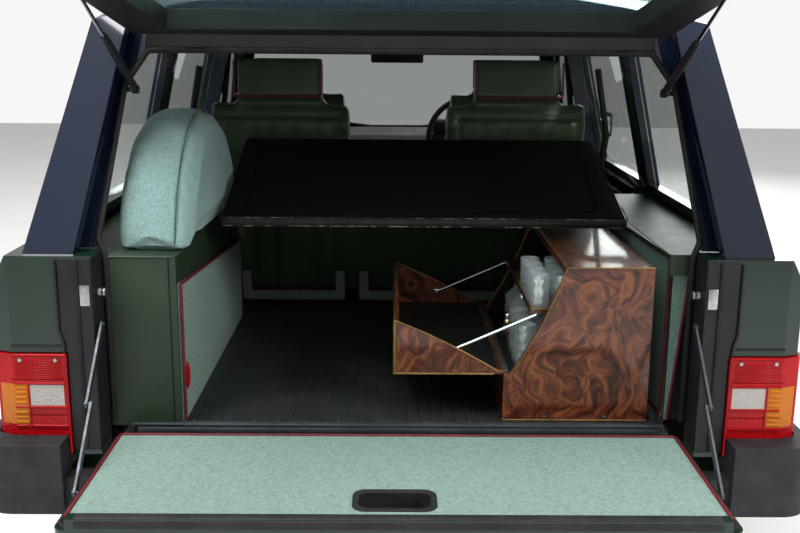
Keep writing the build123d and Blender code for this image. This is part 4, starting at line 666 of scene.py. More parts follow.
def corner_line(*corners, reach=0.03):
    """Points of a line that turns softly at each corner: the corner itself and one point before and after."""
    line = [Vector(corners[0])]
    for before, here, after in zip(corners, corners[1:], corners[2:]):
        before, here, after = Vector(before), Vector(here), Vector(after)
        step = min(reach, (here - before).length / 3, (after - here).length / 3)
        line += [here + (before - here).normalized() * step, here, here + (after - here).normalized() * step]
    line.append(Vector(corners[-1]))
    return line


def side_line(sign, *corners, reach=0.03):
    """A line that turns softly, from corners given for the right side: x, station and height."""
    return corner_line(*(at(sign * x, station, z) for x, station, z in corners), reach=reach)


def both_sides(make):
    """Call a maker for the right side and the left side of the car."""
    for side, sign in (("right", 1), ("left", -1)):
        make(side, sign)


# %% [markdown]
# Dark red piping closes the edge of the tailgate's carpet on three sides. Beyond the carpet the gate ends in
# a black rubber-faced edge between two painted corners, with a thin bright seam in front of it.


# %% Tailgate trim
GATE_TOP = 0.690
CARPET_HALF = 0.627
CARPET_TIP = -0.394
CARPET_ROOT = 0.014


def tailgate_trim():
    line = corner_line(
        at(-CARPET_HALF, CARPET_TIP + 0.004, GATE_TOP + 0.001),
        at(-CARPET_HALF, CARPET_ROOT - 0.002, GATE_TOP + 0.001),
        at(CARPET_HALF, CARPET_ROOT - 0.002, GATE_TOP + 0.001),
        at(CARPET_HALF, CARPET_TIP + 0.004, GATE_TOP + 0.001),
        reach=0.02,
    )
    piping("tailgate_piping", line, 0.0036, "tailgate")
    edge = (at(-0.603, -0.4285, 0.683), at(0.603, -0.400, 0.7068))
    blocks("tailgate_top_edge", trim_plastic, edge, soft=0.006, segments=3, body="tailgate")
    seam = [at(x, -0.3975, 0.6915) for x in (-0.6, -0.2, 0.2, 0.6)]
    bead("tailgate_seam", seam, 0.002, zinc, "tailgate")

    def side_seal(side, sign):
        line = side_line(
            sign, (0.634, 0.012, 0.6835), (0.634, -0.40, 0.6835), (0.612, -0.424, 0.6835), reach=0.015
        )
        bead(f"tailgate_seal_{side}", line, 0.004, seal_rubber, "tailgate")

    both_sides(side_seal)


tailgate_trim()

# %% [markdown]
# The rubber mat is pressed with long ribs that let cases slide. Each rib is a low rounded strip; we lay
# them out with a loop and leave the plain joint line where two halves of the mat meet.


# %% Ribs of the load mat
RIB_PITCH, RIB_HALF, RIB_SOFT = 0.028, 0.0045, 0.0012
FIRST_RIB, MAT_EDGE = -0.478, 0.235
JOINT_LEFT, JOINT_RIGHT = -0.035, 0.0


def mat_ribs():
    ribs = []
    x = FIRST_RIB
    while x < MAT_EDGE:
        if not JOINT_LEFT < x < JOINT_RIGHT:
            ribs.append((at(x - RIB_HALF, 0.095, 0.6895), at(x + RIB_HALF, 1.06, 0.6922)))
        x += RIB_PITCH
    blocks("load_mat_ribs", mat_rubber, *ribs, soft=RIB_SOFT, segments=1, slot="mat_black")
    sill = (at(-0.62, 0.0715, 0.6885), at(0.62, 0.0885, 0.6925))
    blocks("sill_plate", sheet_paint, sill, soft=RIB_SOFT, segments=1, slot="floor_metal")
    print("ribs:", len(ribs))


mat_ribs()


# %% [markdown]
# A seal runs round the tail opening: a soft black tube on the body, up both pillars and across under the
# header. It hides the raw edge of the opening and gives the eye a dark line between paint and cabin.


# %% Seals of the tail opening
SEAL_RADIUS = 0.0075


def tail_seals():
    def run(side, sign):
        line = side_line(
            sign,
            (0.660, 0.083, 0.70),
            (0.660, 0.083, 1.09),
            (0.678, 0.098, 1.125),
            (0.640, 0.2545, 1.46),
            (0.592, 0.2905, 1.536),
            (0.55, 0.2945, 1.5375),
            reach=0.02,
        )
        bead(f"tail_seal_{side}", line, SEAL_RADIUS, seal_rubber)

    both_sides(run)
    bead("tail_seal_top", [at(x, 0.2935, 1.5375) for x in (-0.56, -0.2, 0.2, 0.56)], SEAL_RADIUS, seal_rubber)


tail_seals()


# %% [markdown]
# Flat trim such as linings and carpet strips is a thin plate with a drawn outline. One helper draws an
# outline out between two distances, and three small rules say which way the plate faces: across the car,
# along it or upwards.


# %% Helper for plates
def across_car(station, z, x):
    return at(x, station, z)


def along_car(x, z, station):
    return at(x, station, z)


def lying(x, station, z):
    return at(x, station, z)


def plate(name, way, outline, low, high, finish, body="root"):
    """A plate: its outline, drawn out between two distances."""
    bm = bmesh.new()
    near, far = [[bm.verts.new(way(u, v, w)) for u, v in outline] for w in (low, high)]
    bm.faces.new(near)
    bm.faces.new(list(reversed(far)))
    for spot in range(len(outline)):
        bm.faces.new((near[spot - 1], near[spot], far[spot], far[spot - 1]))
    piece = keep(bm, name, finish, body)
    sharpen(piece)
    return piece


# %% [markdown]
# The cabinet is veneered outside and lined in black inside. Its mouth is cut along a soft curve, and a gilt
# band follows each cut edge. The curve is given by its ends and a bulge, so linings and bands share one line.

# %% Cabinet and flap trim
CAB_LEFT, CAB_RIGHT = 0.245, 0.585
CAB_FRONT, CAB_REAR = 0.108, 0.722
CAB_TOP, CAB_FLOOR, CAB_SHELF, CAB_HINGE = 1.061, 0.790, 0.952, 0.806
FLAP_END = CAB_LEFT - 0.255
lining_black = satin_paint("cabinet_lining", (0.005, 0.004, 0.004), (0.012, 0.010, 0.009), 0.6)


def bowed(start, end, bulge, count=12):
    """Points of a flat curve between two points, bowed by an offset at its middle."""
    line = []
    for step in range(count + 1):
        share = step / count
        lift = 4 * share * (1 - share)
        line.append(tuple(a + (b - a) * share + lift * c for a, b, c in zip(start, end, bulge)))
    return line


MOUTH = bowed((0.261, 0.806), (0.383, 1.061), (0.009, -0.005))
CHEEK = bowed((0.233, 0.812), (-0.010, 0.934), (-0.006, 0.010))


def cabinet_trim():
    inner = [(x + 0.004, z) for x, z in MOUTH[1:-1]]
    wall = [(0.2595, CAB_FLOOR), *inner, (0.391, 1.0465), (0.5705, 1.0465), (0.5705, CAB_FLOOR)]
    for name, low, high in (("front", 0.1221, 0.1235), ("rear", 0.7065, 0.7079)):
        plate(f"cabinet_lining_{name}", along_car, wall, low, high, lining_black)
    bm = bmesh.new()
    for low, high in (
        (at(0.5695, 0.124, 0.7905), at(0.5708, 0.706, 1.0465)),
        (at(0.392, 0.124, 1.0453), at(0.5695, 0.706, 1.0468)),
        (at(0.2595, 0.124, 0.7901), at(0.5695, 0.706, 0.7915)),
    ):
        add_block(bm, low, high)
    keep(bm, "cabinet_lining", lining_black, smooth=False)
    for name, station in (("front", CAB_FRONT), ("rear", CAB_REAR)):
        line = [at(x, station, z) for x, z in MOUTH]
        gilt(f"cabinet_band_{name}", line, 0.0019)
    top = corner_line(
        at(0.383, CAB_REAR, CAB_TOP),
        at(0.383, CAB_FRONT, CAB_TOP),
        at(CAB_RIGHT, CAB_FRONT, CAB_TOP),
        reach=0.006,
    )
    gilt("cabinet_band_top", top, 0.0019)
    foot = [at(x, CAB_FRONT, 0.6925) for x in (CAB_LEFT, 0.36, 0.48, CAB_RIGHT)]
    gilt("cabinet_band_foot", foot, 0.0022)
    screws = [(at(x, 0.106, 0.704), at(x, 0.112, 0.704), 0.0045) for x in (0.344, 0.486)]
    rods("cabinet_screws", chrome, *screws, sides=14, slot="chrome")


def flap_trim():
    tray = [(0.0003, 0.1185), (0.0003, 0.7115), (0.2325, 0.7115), (0.2325, 0.1185)]
    plate("flap_lining", lying, tray, 0.8161, 0.8174, lining_black, "cabinet_flap")
    inner = [(x, z - 0.003) for x, z in CHEEK[1:-1]]
    cheek = [(0.0018, 0.8176), (0.228, 0.8176), *inner, (0.0018, 0.926)]
    plate("flap_lining_cheek", along_car, cheek, 0.1181, 0.1193, lining_black, "cabinet_flap")
    end = [(0.1195, 0.8176), (0.1195, 0.929), (0.7115, 0.929), (0.7115, 0.8176)]
    plate("flap_lining_end", across_car, end, 0.0002, 0.0014, lining_black, "cabinet_flap")
    for name, station in (("front", CAB_FRONT), ("rear", CAB_REAR)):
        line = [at(x, station, z) for x, z in CHEEK]
        low = [at(x, station, CAB_HINGE) for x in (0.222, 0.14, 0.06, FLAP_END)]
        gilt(f"flap_band_{name}", line, 0.002, "cabinet_flap")
        gilt(f"flap_foot_{name}", low, 0.003, "cabinet_flap")
        post = [at(FLAP_END, station, z) for z in (CAB_HINGE, 0.85, 0.89, 0.934)]
        gilt(f"flap_post_{name}", post, 0.0042, "cabinet_flap")
    for name, z in (("top", 0.934), ("low", CAB_HINGE)):
        rim = [at(FLAP_END, t, z) for t in (CAB_FRONT, 0.3, 0.5, CAB_REAR)]
        gilt(f"flap_end_{name}", rim, 0.003, "cabinet_flap")


KNUCKLE_SPANS = ((0.1305, 0.1995), (0.3805, 0.4495), (0.6305, 0.6995))
BARREL_LENGTH, BARREL_PITCH = 0.0085, 0.0105
FIRST_BARREL, LAST_BARREL = 0.1265, 0.703


def piano_hinge():
    """Short barrels along the hinge line: the flap's where its knuckles are, the cabinet's between them."""
    flap, cabinet = bmesh.new(), bmesh.new()
    station = FIRST_BARREL
    while station < LAST_BARREL:
        end = station + BARREL_LENGTH
        on_flap = any(low <= station and end <= high for low, high in KNUCKLE_SPANS)
        start, stop = at(CAB_LEFT, station, CAB_HINGE), at(CAB_LEFT, end, CAB_HINGE)
        add_rod(flap if on_flap else cabinet, start, stop, 0.0048 if on_flap else 0.0036, 10)
        station += BARREL_PITCH
    add_block(cabinet, at(0.2475, 0.13, 0.8058), at(0.2585, 0.70, 0.8069), 0.0004, 1)
    sharpen(keep(flap, "flap_hinge_barrels", zinc, "cabinet_flap"))
    sharpen(keep(cabinet, "cabinet_hinge_barrels", zinc))
    spans = ((0.697, 0.7085), (0.1215, 0.133))
    ends = [(at(0.1035, low, 0.8435), at(0.1205, high, 0.8605)) for low, high in spans]
    blocks("stay_blocks", chrome, *ends, soft=0.002, body="flap_stays", slot="chrome")


cabinet_trim()
flap_trim()
piano_hinge()

# %% [markdown]
# Cut crystal catches the light on its facets. A vessel is a stack of rings, each turned half a facet against
# the last, which gives the diamond cut; the inner wall is cut the same way. The decanters use the same maker.


# %% Glassware
# share of the height, share of the radius
TUMBLER_INSIDE = ((1.0, 0.88), (0.5, 0.84), (0.16, 0.7))
TUMBLER = ((0.0, 0.90), (0.10, 0.96), (0.30, 0.93), (0.50, 0.96), (0.70, 0.94), (0.88, 0.98), (1.0, 1.0))
DECANTER = (
    # share of the height, radius in metres
    (0.0, 0.034), (0.004, 0.0375), (0.03, 0.036), (0.055, 0.0378), (0.08, 0.036), (0.095, 0.037),
    (0.102, 0.03), (0.113, 0.018), (0.121, 0.0125), (0.124, 0.0145), (0.127, 0.0095), (0.134, 0.0128),
    (0.142, 0.008), (0.1435, 0.0),
)


def add_rings(bm, x, station, rings, sides=12, twist=True):
    """Rings of points from foot to top, joined by triangles that turn half a facet each time."""
    made = []
    for number, (z, radius) in enumerate(rings):
        turn = math.pi / sides * (number % 2) if twist else 0
        ring = []
        for spot in range(sides):
            angle = 2 * math.pi * spot / sides + turn
            ring.append(bm.verts.new(at(x + radius * math.cos(angle), station + radius * math.sin(angle), z)))
        made.append(ring)
    for number, (low, high) in enumerate(zip(made, made[1:])):
        for spot in range(sides):
            here, there = spot, (spot + 1) % sides
            if not twist:
                bm.faces.new((low[here], low[there], high[there], high[here]))
            elif number % 2 == 0:
                bm.faces.new((low[here], low[there], high[here]))
                bm.faces.new((low[there], high[there], high[here]))
            else:
                bm.faces.new((low[here], high[there], high[here]))
                bm.faces.new((low[here], low[there], high[there]))
    bm.faces.new(list(reversed(made[0])))
    bm.faces.new(made[-1])


def glass_rings(radius, z, height):
    outer = [(z + share * height, radius * wide) for share, wide in TUMBLER]
    inner = [(z + share * height, radius * wide) for share, wide in TUMBLER_INSIDE]
    return outer + inner


def add_tumbler(bm, x, station, z, radius, height):
    add_rings(bm, x, station, glass_rings(radius, z, height), 12)


def make_glasses():
    bm = bmesh.new()
    for x in (0.332, 0.392):
        for station in (0.18, 0.24, 0.30, 0.36):
            add_tumbler(bm, x, station, CAB_SHELF + 0.0003, 0.025, 0.077)
    for x in (0.305, 0.368):
        for station in (0.19, 0.256, 0.322):
            for tier in (0, 1):
                add_tumbler(bm, x, station, 0.7917 + tier * 0.052, 0.0268, 0.061)
    for station in (0.44, 0.54):
        add_rings(bm, 0.33, station, [(0.7917 + rise, max(wide, 0.001)) for rise, wide in DECANTER], 14)
    piece = keep(bm, "cut_glasses", crystal, smooth=False)
    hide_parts("glassware")
    bm = bmesh.new()
    rings = ((0.7917, 0.011), (0.800, 0.012), (0.815, 0.009), (0.838, 0.0125), (0.852, 0.0105))
    add_rings(bm, 0.288, 0.42, rings, 16, twist=False)
    keep(bm, "bottle_opener_handle", brass)
    bm = bmesh.new()
    add_rings(bm, 0.288, 0.42, ((0.8522, 0.0105), (0.862, 0.0118), (0.869, 0.007)), 16, twist=False)
    keep(bm, "bottle_opener_cap", chrome)
    rail = [(at(0.308, t, 0.9522), at(0.5685, t + 0.003, 0.957)) for t in (0.1385, 0.3985)]
    rail.append((at(0.3062, 0.1385, 0.9522), at(0.3092, 0.6915, 0.957)))
    blocks("shelf_rail", gold_edging, *rail, soft=0.001, segments=1, slot="burl_wood")


make_glasses()


# %% [markdown]
# Seats and the spare wheel's cover are soft. Each starts as a copy of its plain solid, which we remesh into
# an even net, round off and let swell for twenty frames as cloth under pressure, with every point held
# within a short reach of its start. Seams and channels are pressed in afterwards, since the net would lose
# them.


# %% Padded pieces
def soft_copy(name, node, voxel, rounds, shrink):
    """An even, rounded net over a plain solid, a little smaller than it."""
    bm = bmesh.new()
    bm.from_mesh(nodes[node].data)
    bmesh.ops.remove_doubles(bm, verts=bm.verts, dist=0.0002)
    mesh = bpy.data.meshes.new(name)
    bm.to_mesh(mesh)
    bm.free()
    piece = bpy.data.objects.new(name, mesh)
    scene.collection.objects.link(piece)
    net = piece.modifiers.new("net", "REMESH")
    net.mode = "VOXEL"
    net.voxel_size = voxel
    bpy.context.view_layer.update()
    fine = evaluated(piece)
    piece.modifiers.clear()
    piece.data = fine
    bm = bmesh.new()
    bm.from_mesh(fine)
    for _ in range(rounds):
        bmesh.ops.smooth_vert(
            bm, verts=bm.verts, factor=0.5, use_axis_x=True, use_axis_y=True, use_axis_z=True
        )
    bm.normal_update()
    for vert in bm.verts:
        vert.co -= vert.normal * shrink
    bm.to_mesh(fine)
    bm.free()
    return piece


def swell(piece, pressure, reach):
    """Let a net swell as cloth, and hold each point within a reach of its start."""
    start = [vert.co.copy() for vert in piece.data.vertices]
    cloth = piece.modifiers.new("swell", "CLOTH")
    cloth.settings.use_pressure = True
    cloth.settings.uniform_pressure_force = pressure
    cloth.settings.effector_weights.gravity = 0
    cloth.settings.quality = 4
    cloth.settings.bending_stiffness = 2
    for number in range(1, 21):
        scene.frame_set(number)
    done = evaluated(piece)
    piece.modifiers.clear()
    for vert, begin in zip(done.vertices, start):
        move = vert.co - begin
        if move.length > reach:
            vert.co = begin + move * (reach / move.length)
    piece.data = done
    scene.frame_set(1)


def press(piece, lines):
    """Press grooves into a net: each line is a rule from a point to its distance, a width and a depth."""
    bm = bmesh.new()
    bm.from_mesh(piece.data)
    bm.normal_update()
    for vert in bm.verts:
        sink = sum(depth * math.exp(-((rule(vert.co) / wide) ** 2)) for rule, wide, depth in lines)
        vert.co -= vert.normal * sink
    bm.to_mesh(piece.data)
    bm.free()


def finish_pad(piece, finish, slot, fill, *replaced):
    piece.data.materials.clear()
    piece.data.materials.append(finish)
    for face in piece.data.polygons:
        face.use_smooth = True
    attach(piece, "root")
    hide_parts(*replaced)


def outside(limit, value):
    """Distance that is far away wherever the value is under the limit."""
    return 9.0 if value < limit else 0.0


# %% [markdown]
# The spare wheel stands on the left side box under a fitted carpet cover. The cover is a little slack: it has
# one sewn seam round its crown and soft dents where the carpet bridges from tread to wheel.


# %% Spare wheel's cover
seam_thread = pile_carpet("seam_thread", (0.03, 0.06, 0.06), (0.10, 0.17, 0.17))
HUB_STATION, HUB_HEIGHT, SEAM_RADIUS = 0.500, 1.012, 0.3735


def spare_cover():
    piece = soft_copy("spare_wheel_cover", "spare_cover", 0.0055, 14, 0.004)
    swell(piece, 3.0, 0.007)
    hub = at(0, HUB_STATION, HUB_HEIGHT)
    press(
        piece,
        (
            (lambda p: (p.x + 0.515) + outside(1.12, p.z), 0.004, 0.005),
            (lambda p: math.hypot(p.y - hub.y, p.z - hub.z) - 0.25 + outside(-0.52, p.x), 0.05, 0.008),
            (lambda p: noise.noise(p * 7.0) * 0.14, 0.05, 0.003),
        ),
    )
    finish_pad(piece, cover_carpet, "carpet_sage", 0.7, "spare_cover")
    arc = [math.radians(angle) for angle in range(14, 170, 12)]
    ring = [(SEAM_RADIUS * math.cos(angle), SEAM_RADIUS * math.sin(angle)) for angle in arc]
    line = [at(-0.5155, HUB_STATION - back, HUB_HEIGHT + rise) for back, rise in ring]
    bead("spare_cover_seam", line, 0.0016, seam_thread)


spare_cover()


# %% [markdown]
# The seats are trimmed in green hide, in a lighter copy that carries painted light. Their backs carry sewn
# channels, the headrests are separate pads on bright posts, and dark red piping frames the rear of each
# headrest.


# %% Seats
FRONT_TOP, REAR_TOP = 1.360, 1.372
FRONT_BACK, REAR_BACK = 1.870, 1.105


def channel(middles, low, high):
    """Rule for upright channels at some distances from the middle, between two heights."""
    return lambda p: min(abs(abs(p.x) - x) for x in middles) + (0 if low < p.z < high else 9.0)


def seat_pads(name, node, channels, rest_z, low, middle_x, half):
    body = soft_copy(f"{name}_pads", node, 0.011, 5, 0.005)
    swell(body, 2.5, 0.009)
    press(
        body,
        (
            (channel(channels, low, rest_z - 0.06), 0.008, 0.007),
            (lambda p: abs(max(abs(abs(p.x) - middle_x) - half, p.z - (rest_z - 0.045))), 0.007, 0.009),
        ),
    )
    # The seats take the lighter copy of the green hide, whose extra lightness is painted light.
    finish_pad(body, seat_hide, "leather_green", 0.9, node)


def headrest_posts(name, xs, station, z):
    posts = [(at(x, station, z - 0.03), at(x, station, z + 0.03), 0.0065) for x in xs]
    rods(name, chrome, *posts, slot="chrome")


def rest_piping(name, middle_x, station, z):
    """Piping along the foot and both sides of each headrest's rear face."""
    for side, sign in (("right", 1), ("left", -1)):
        low, high = sign * middle_x - 0.134, sign * middle_x + 0.134
        line = corner_line(
            at(low, station + 0.008, z + 0.108),
            at(low, station, z),
            at(high, station, z),
            at(high, station + 0.008, z + 0.108),
            reach=0.02,
        )
        piping(f"{name}_{side}", line, 0.0034)


seat_pads("front_seat", "front_seats", (0.32, 0.375, 0.43, 0.485, 0.54), FRONT_TOP, 0.674, 0.428, 0.19)
seat_pads("rear_seat", "rear_seats", (0.26, 0.33, 0.40, 0.47), REAR_TOP, 0.732, 0.375, 0.185)
headrest_posts("front_rest_posts", (-0.483, -0.373, 0.373, 0.483), FRONT_BACK - 0.005, FRONT_TOP + 0.002)
headrest_posts("rear_rest_posts", (-0.43, -0.32, 0.32, 0.43), REAR_BACK - 0.025, REAR_TOP + 0.002)
rest_piping("front_rest_piping", 0.428, FRONT_BACK - 0.054, FRONT_TOP + 0.016)
rest_piping("rear_rest_piping", 0.375, REAR_BACK - 0.074, REAR_TOP + 0.016)


# %% [markdown]
# Under the parcel shelf we see the rear of the back seats: dark panels with a band of sage carpet along the
# foot, bound in the same piping, and a gap where the bench is split.


# %% Carpet bands on the seat backs
def seat_back_station(z):
    """Station of the leaning rear face of the seat backs."""
    return 1.1445 - 0.2062 * (z - 0.730)


def carpet_band(name, low, high, sill=0.034):
    def way(x, z, off):
        return at(x, seat_back_station(z) - off, z)

    foot, top, rim = 0.708, 0.812, 0.744
    ring = [(low, foot), (high, foot), (high, top), (high - sill, top), (high - sill, rim)]
    ring += [(low + sill, rim), (low + sill, top), (low, top)]
    plate(name, way, ring, 0.001, 0.006, sage_carpet)
    line = corner_line(*(way(x, z, 0.006) for x, z in ((low, top), (low, foot), (high, foot), (high, top))))
    piping(f"{name}_piping", line, 0.003)
    inner = corner_line(
        way(low + sill, top, 0.006),
        way(low + sill, rim, 0.006),
        way(high - sill, rim, 0.006),
        way(high - sill, top, 0.006),
        reach=0.012,
    )
    piping(f"{name}_inner_piping", inner, 0.0024)


carpet_band("seat_band_left", -0.516, -0.172)
carpet_band("seat_band_right", -0.128, 0.516)


# %% [markdown]
# The loose parcel shelf is a board in black cloth with a thick rolled edge. Years of use wore the roll: a
# pale thread line shows along the lower edge and at the corners.


# %% Parcel shelf
SHELF_LEFT, SHELF_RIGHT = -0.474, 0.603
SHELF_STATION, SHELF_DEPTH = 0.408, 0.618
SHELF_HEIGHT, SHELF_RISE = 1.108, 0.150
worn_thread = start_finish("worn_thread", (0.05, 0.04, 0.03), 0.8)
wear = add_noise(worn_thread, 38, 6, 0.7)
colour_by(worn_thread, wear, (0.50, (0.004, 0.004, 0.004)), (0.60, (0.34, 0.27, 0.19)))


def shelf_point(x, share, off=0.0):
    """A point on the shelf: share runs from the near edge to the far one, off is above the board."""
    station = SHELF_STATION + share * SHELF_DEPTH
    z = SHELF_HEIGHT + share * SHELF_RISE
    return at(x, station - 0.236 * off, z + 0.972 * off)


def parcel_shelf():
    bm = bmesh.new()
    across, deep = 44, 26
    rows = []
    for layer in (0, 1):
        grid = []
        for j in range(deep + 1):
            share = j / deep
            row = []
            for i in range(across + 1):
                u = i / across
                edge = min(u, 1 - u) * 1.08
                near = min(edge, share * 0.62, (1 - share) * 0.62)
                inset = 0.018 * max(0.0, 1 - share) + 0.05 * max(0.0, 0.06 - (1 - share)) * 2
                x = SHELF_LEFT + inset + u * (SHELF_RIGHT - SHELF_LEFT - 2 * inset)
                roll = math.sqrt(max(0.0, 1 - (1 - min(near / 0.016, 1)) ** 2))
                dish = 0.004 * min(max((near - 0.03) / 0.02, 0), 1)
                sag = 0.0015 * noise.noise(Vector((x * 5, share * 3, 0)))
                off = 0.0085 * roll - dish + sag if layer else -0.0075 * roll
                row.append(bm.verts.new(shelf_point(x, share, off)))
            grid.append(row)
        rows.append(grid)
    for layer, grid in enumerate(rows):
        for low, high in zip(grid, grid[1:]):
            for i in range(across):
                bm.faces.new((low[i], low[i + 1], high[i + 1], high[i]))
    bmesh.ops.remove_doubles(bm, verts=bm.verts, dist=0.00005)
    board = keep(bm, "parcel_shelf_board", black_cloth)
    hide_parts("parcel_shelf")
    near = [shelf_point(x, 0.004, -0.001) for x in (-0.452, -0.2, 0.2, 0.582)]
    bead("shelf_roll", near, 0.0105, seal_rubber)
    line = corner_line(
        shelf_point(-0.458, 0.16, 0.007),
        shelf_point(-0.458, 0.012, 0.008),
        shelf_point(0.588, 0.012, 0.008),
        shelf_point(0.588, 0.16, 0.007),
        reach=0.02,
    )
    bead("shelf_worn_edge", line, 0.0017, worn_thread)
    panel = corner_line(
        shelf_point(-0.395, 0.10, 0.0052),
        shelf_point(-0.415, 0.90, 0.0052),
        shelf_point(0.545, 0.90, 0.0052),
        shelf_point(0.525, 0.10, 0.0052),
        shelf_point(-0.394, 0.10, 0.0052),
        reach=0.045,
    )
    bead("shelf_panel_edge", panel, 0.0026, black_cloth)
    low = [shelf_point(x, -0.006, -0.0085) for x in (-0.452, -0.2, 0.2, 0.582)]
    bead("shelf_worn_hem", low, 0.0022, worn_thread)


parcel_shelf()


# %% [markdown]
# Both sides of the load space are boxed in leather and lined in carpet. Red piping closes the carpets: on the
# left it climbs the edge nearest the tail and runs forward along the top, on the right it frames a narrow
# strip.


# %% Side piping and marker
PIPING_RADIUS, WELT_RADIUS = 0.0038, 0.0032


def side_trim():
    left = ((0.4965, 0.096, 0.694), (0.4965, 0.096, 1.021), (0.4965, 1.000, 0.944))
    piping("left_carpet_piping", side_line(-1, *left, reach=0.012), PIPING_RADIUS)
    right = ((0.6275, 0.1475, 1.078), (0.6275, 0.1475, 0.695), (0.5945, 0.545, 0.695))
    piping("right_carpet_piping", side_line(1, *right, reach=0.012), PIPING_RADIUS)
    edge = side_line(-1, (0.666, 0.0835, 1.0855), (0.504, 0.0835, 1.0855), (0.504, 1.0, 1.0855))
    bead("left_box_welt", edge, WELT_RADIUS, green_hide)
    edge = side_line(1, (0.614, 1.0, 1.0925), (0.614, 0.1005, 1.0925), (0.664, 0.1005, 1.0925))
    bead("right_box_welt", edge, WELT_RADIUS, green_hide)
    backing = [(0.6435, 0.692), (0.6665, 0.692), (0.6665, 1.080), (0.6435, 1.080)]
    plate("right_corner_board", along_car, backing, 0.1195, 0.1235, lining_black)
    strip = [(0.6285, 0.694), (0.6345, 0.694), (0.6645, 1.0455), (0.6285, 1.0455)]
    plate("right_corner_carpet", along_car, strip, 0.1130, 0.1190, sage_carpet)
    line = [at(0.6345 + 0.030 * s, 0.1125, 0.694 + 0.350 * s) for s in (0, 0.33, 0.67, 1)]
    piping("right_corner_piping", line, 0.0034)
    # A thin black line down the inner edge of the left box's rear face: a real seam, with the shade in its
    # groove painted black.
    seam = [at(-0.52, 0.0822, z) for z in (0.694, 0.8, 0.95, 1.083)]
    bead("left_box_seam", seam, 0.0012, seal_rubber)
    bm = bmesh.new()
    made = bmesh.ops.create_uvsphere(bm, u_segments=20, v_segments=12, radius=1)["verts"]
    bmesh.ops.scale(bm, vec=(0.006, 0.011, 0.034), verts=made)
    bmesh.ops.translate(bm, vec=at(-0.4965, 0.130, 0.792), verts=made)
    keep(bm, "side_marker", red_lens)


red_lens = start_finish("red_lens", (0.36, 0.001, 0.004), 0.25, Coat_Weight=0.3, Specular_IOR_Level=0.1)
relief_by(red_lens, add_cells(red_lens, 900), 0.3, 0.0006)
side_trim()


# %% [markdown]
# Round the tail there are small black and bright parts: covers on the jambs and the header, striker plates,
# the wiper on the hatch and its heater lines, and the screws and rims of the lamps.


# %% Jambs, header and wiper
HEADER_STATION, HEADER_FOOT, HEADER_LEAN = 0.2948, 1.535, 0.2677
HATCH_STATION, HATCH_HEIGHT, HATCH_RISE = 0.262, 1.625, 16
HEATER_LINES, HEATER_PITCH = 9, 0.045


def header_face(x, z, off):
    """A point on the leaning rear face of the header, or off it."""
    return at(x, HEADER_STATION - (z - HEADER_FOOT) * HEADER_LEAN - off, z)


def jamb_trim():
    def cover(side, sign):
        def way(x, z, t):
            return at(sign * x, t, z)

        outline = [(0.6685, 0.66), (0.730, 0.66), (0.730, 0.90)]
        outline += [(0.742, 0.935), (0.742, 1.10), (0.6685, 1.10)]
        plate(f"jamb_cover_{side}", way, outline, -0.0022, -0.0004, black_paint)
        fold = [at(sign * 0.700, -0.003, z) for z in (0.665, 0.8, 0.95, 1.098)]
        bead(f"jamb_fold_{side}", fold, 0.004, seal_rubber)
        bm = bmesh.new()
        add_block(bm, at(sign * 0.684 - 0.011, -0.006, 0.995), at(sign * 0.684 + 0.011, -0.002, 1.041), 0.002)
        for z in (1.004, 1.032):
            add_rod(bm, at(sign * 0.684, -0.0065, z), at(sign * 0.684, -0.003, z), 0.004, 10)
        add_rod(bm, at(sign * 0.664, 0.030, 1.018), at(sign * 0.6485, 0.030, 1.018), 0.0095, 16)
        sharpen(keep(bm, f"striker_plate_{side}", zinc))
        corners = ((0.7365, 0.665), (0.7365, 0.905), (0.746, 0.940), (0.746, 1.095))
        inner = side_line(sign, *((x, -0.004, z) for x, z in corners))
        bead(f"jamb_edge_{side}", inner, 0.003, black_paint)
        lining = bmesh.new()
        for x_out, low, high in ((0.6679, 0.662, 1.0995), (0.742, 1.1003, 1.1010)):
            ends = sorted((sign * 0.6674, sign * x_out))
            add_block(lining, at(ends[0], 0.0005, low), at(ends[1], 0.0775, high))
        keep(lining, f"jamb_lining_{side}", black_paint, smooth=False)

    both_sides(cover)
    outline = [(-0.60, 1.5365), (0.60, 1.5365), (0.585, 1.632), (-0.585, 1.632)]
    plate("header_cover", header_face, outline, 0.00005, 0.0002, black_paint)


def hatch_hardware():
    low = hatch_point(0.0, 0.485, 0.056)
    motor = (low + Vector((-0.085, -0.03, -0.030)), low + Vector((0.085, 0.03, 0.004)))
    blocks("wiper_motor", black_paint, motor, soft=0.010, segments=3, body="hatch")
    arm = ((0.0, 0.52), (0.08, 0.42), (0.15, 0.30), (0.20, 0.22))
    bead("wiper_arm", [hatch_point(x, s, -0.0035) for x, s in arm], 0.0045, black_paint, "hatch")
    blade = ((0.05, 0.16), (0.17, 0.205), (0.27, 0.26), (0.36, 0.33))
    bead("wiper_blade", [hatch_point(x, s, -0.0035) for x, s in blade], 0.004, seal_rubber, "hatch")
    heater = bmesh.new()
    for number in range(HEATER_LINES):
        s = 0.10 + number * HEATER_PITCH
        half = 0.50 + 0.10 * s
        add_block(heater, hatch_point(-half, s, 0.0083), hatch_point(half, s + 0.0012, 0.0087))
    keep(heater, "heater_lines", brass, "hatch", smooth=False)


def hatch_point(x, along, off):
    """A point on the raised hatch, along it from the hinge and off its outer face."""
    angle = math.radians(180 - HATCH_RISE)
    station = HATCH_STATION + along * math.cos(angle) - off * math.sin(angle)
    z = HATCH_HEIGHT + along * math.sin(angle) + off * math.cos(angle)
    return at(x, station, z)


jamb_trim()
hatch_hardware()

# %% [markdown]
# Each lamp gets a thin rim, raised lines between its fields and four bright screws.


# %% Lamp trim
PRISM_SOFT = 0.0008


def lamp_prisms(name, finish, middle, half, foot, pitch, tall, count):
    """Raised lines across one field of a lamp."""
    prisms = bmesh.new()
    for number in range(count):
        z = foot + number * pitch
        low, high = at(middle - half, -0.0078, z), at(middle + half, -0.0055, z + tall)
        add_block(prisms, low, high, PRISM_SOFT, 1)
    keep(prisms, name, finish)


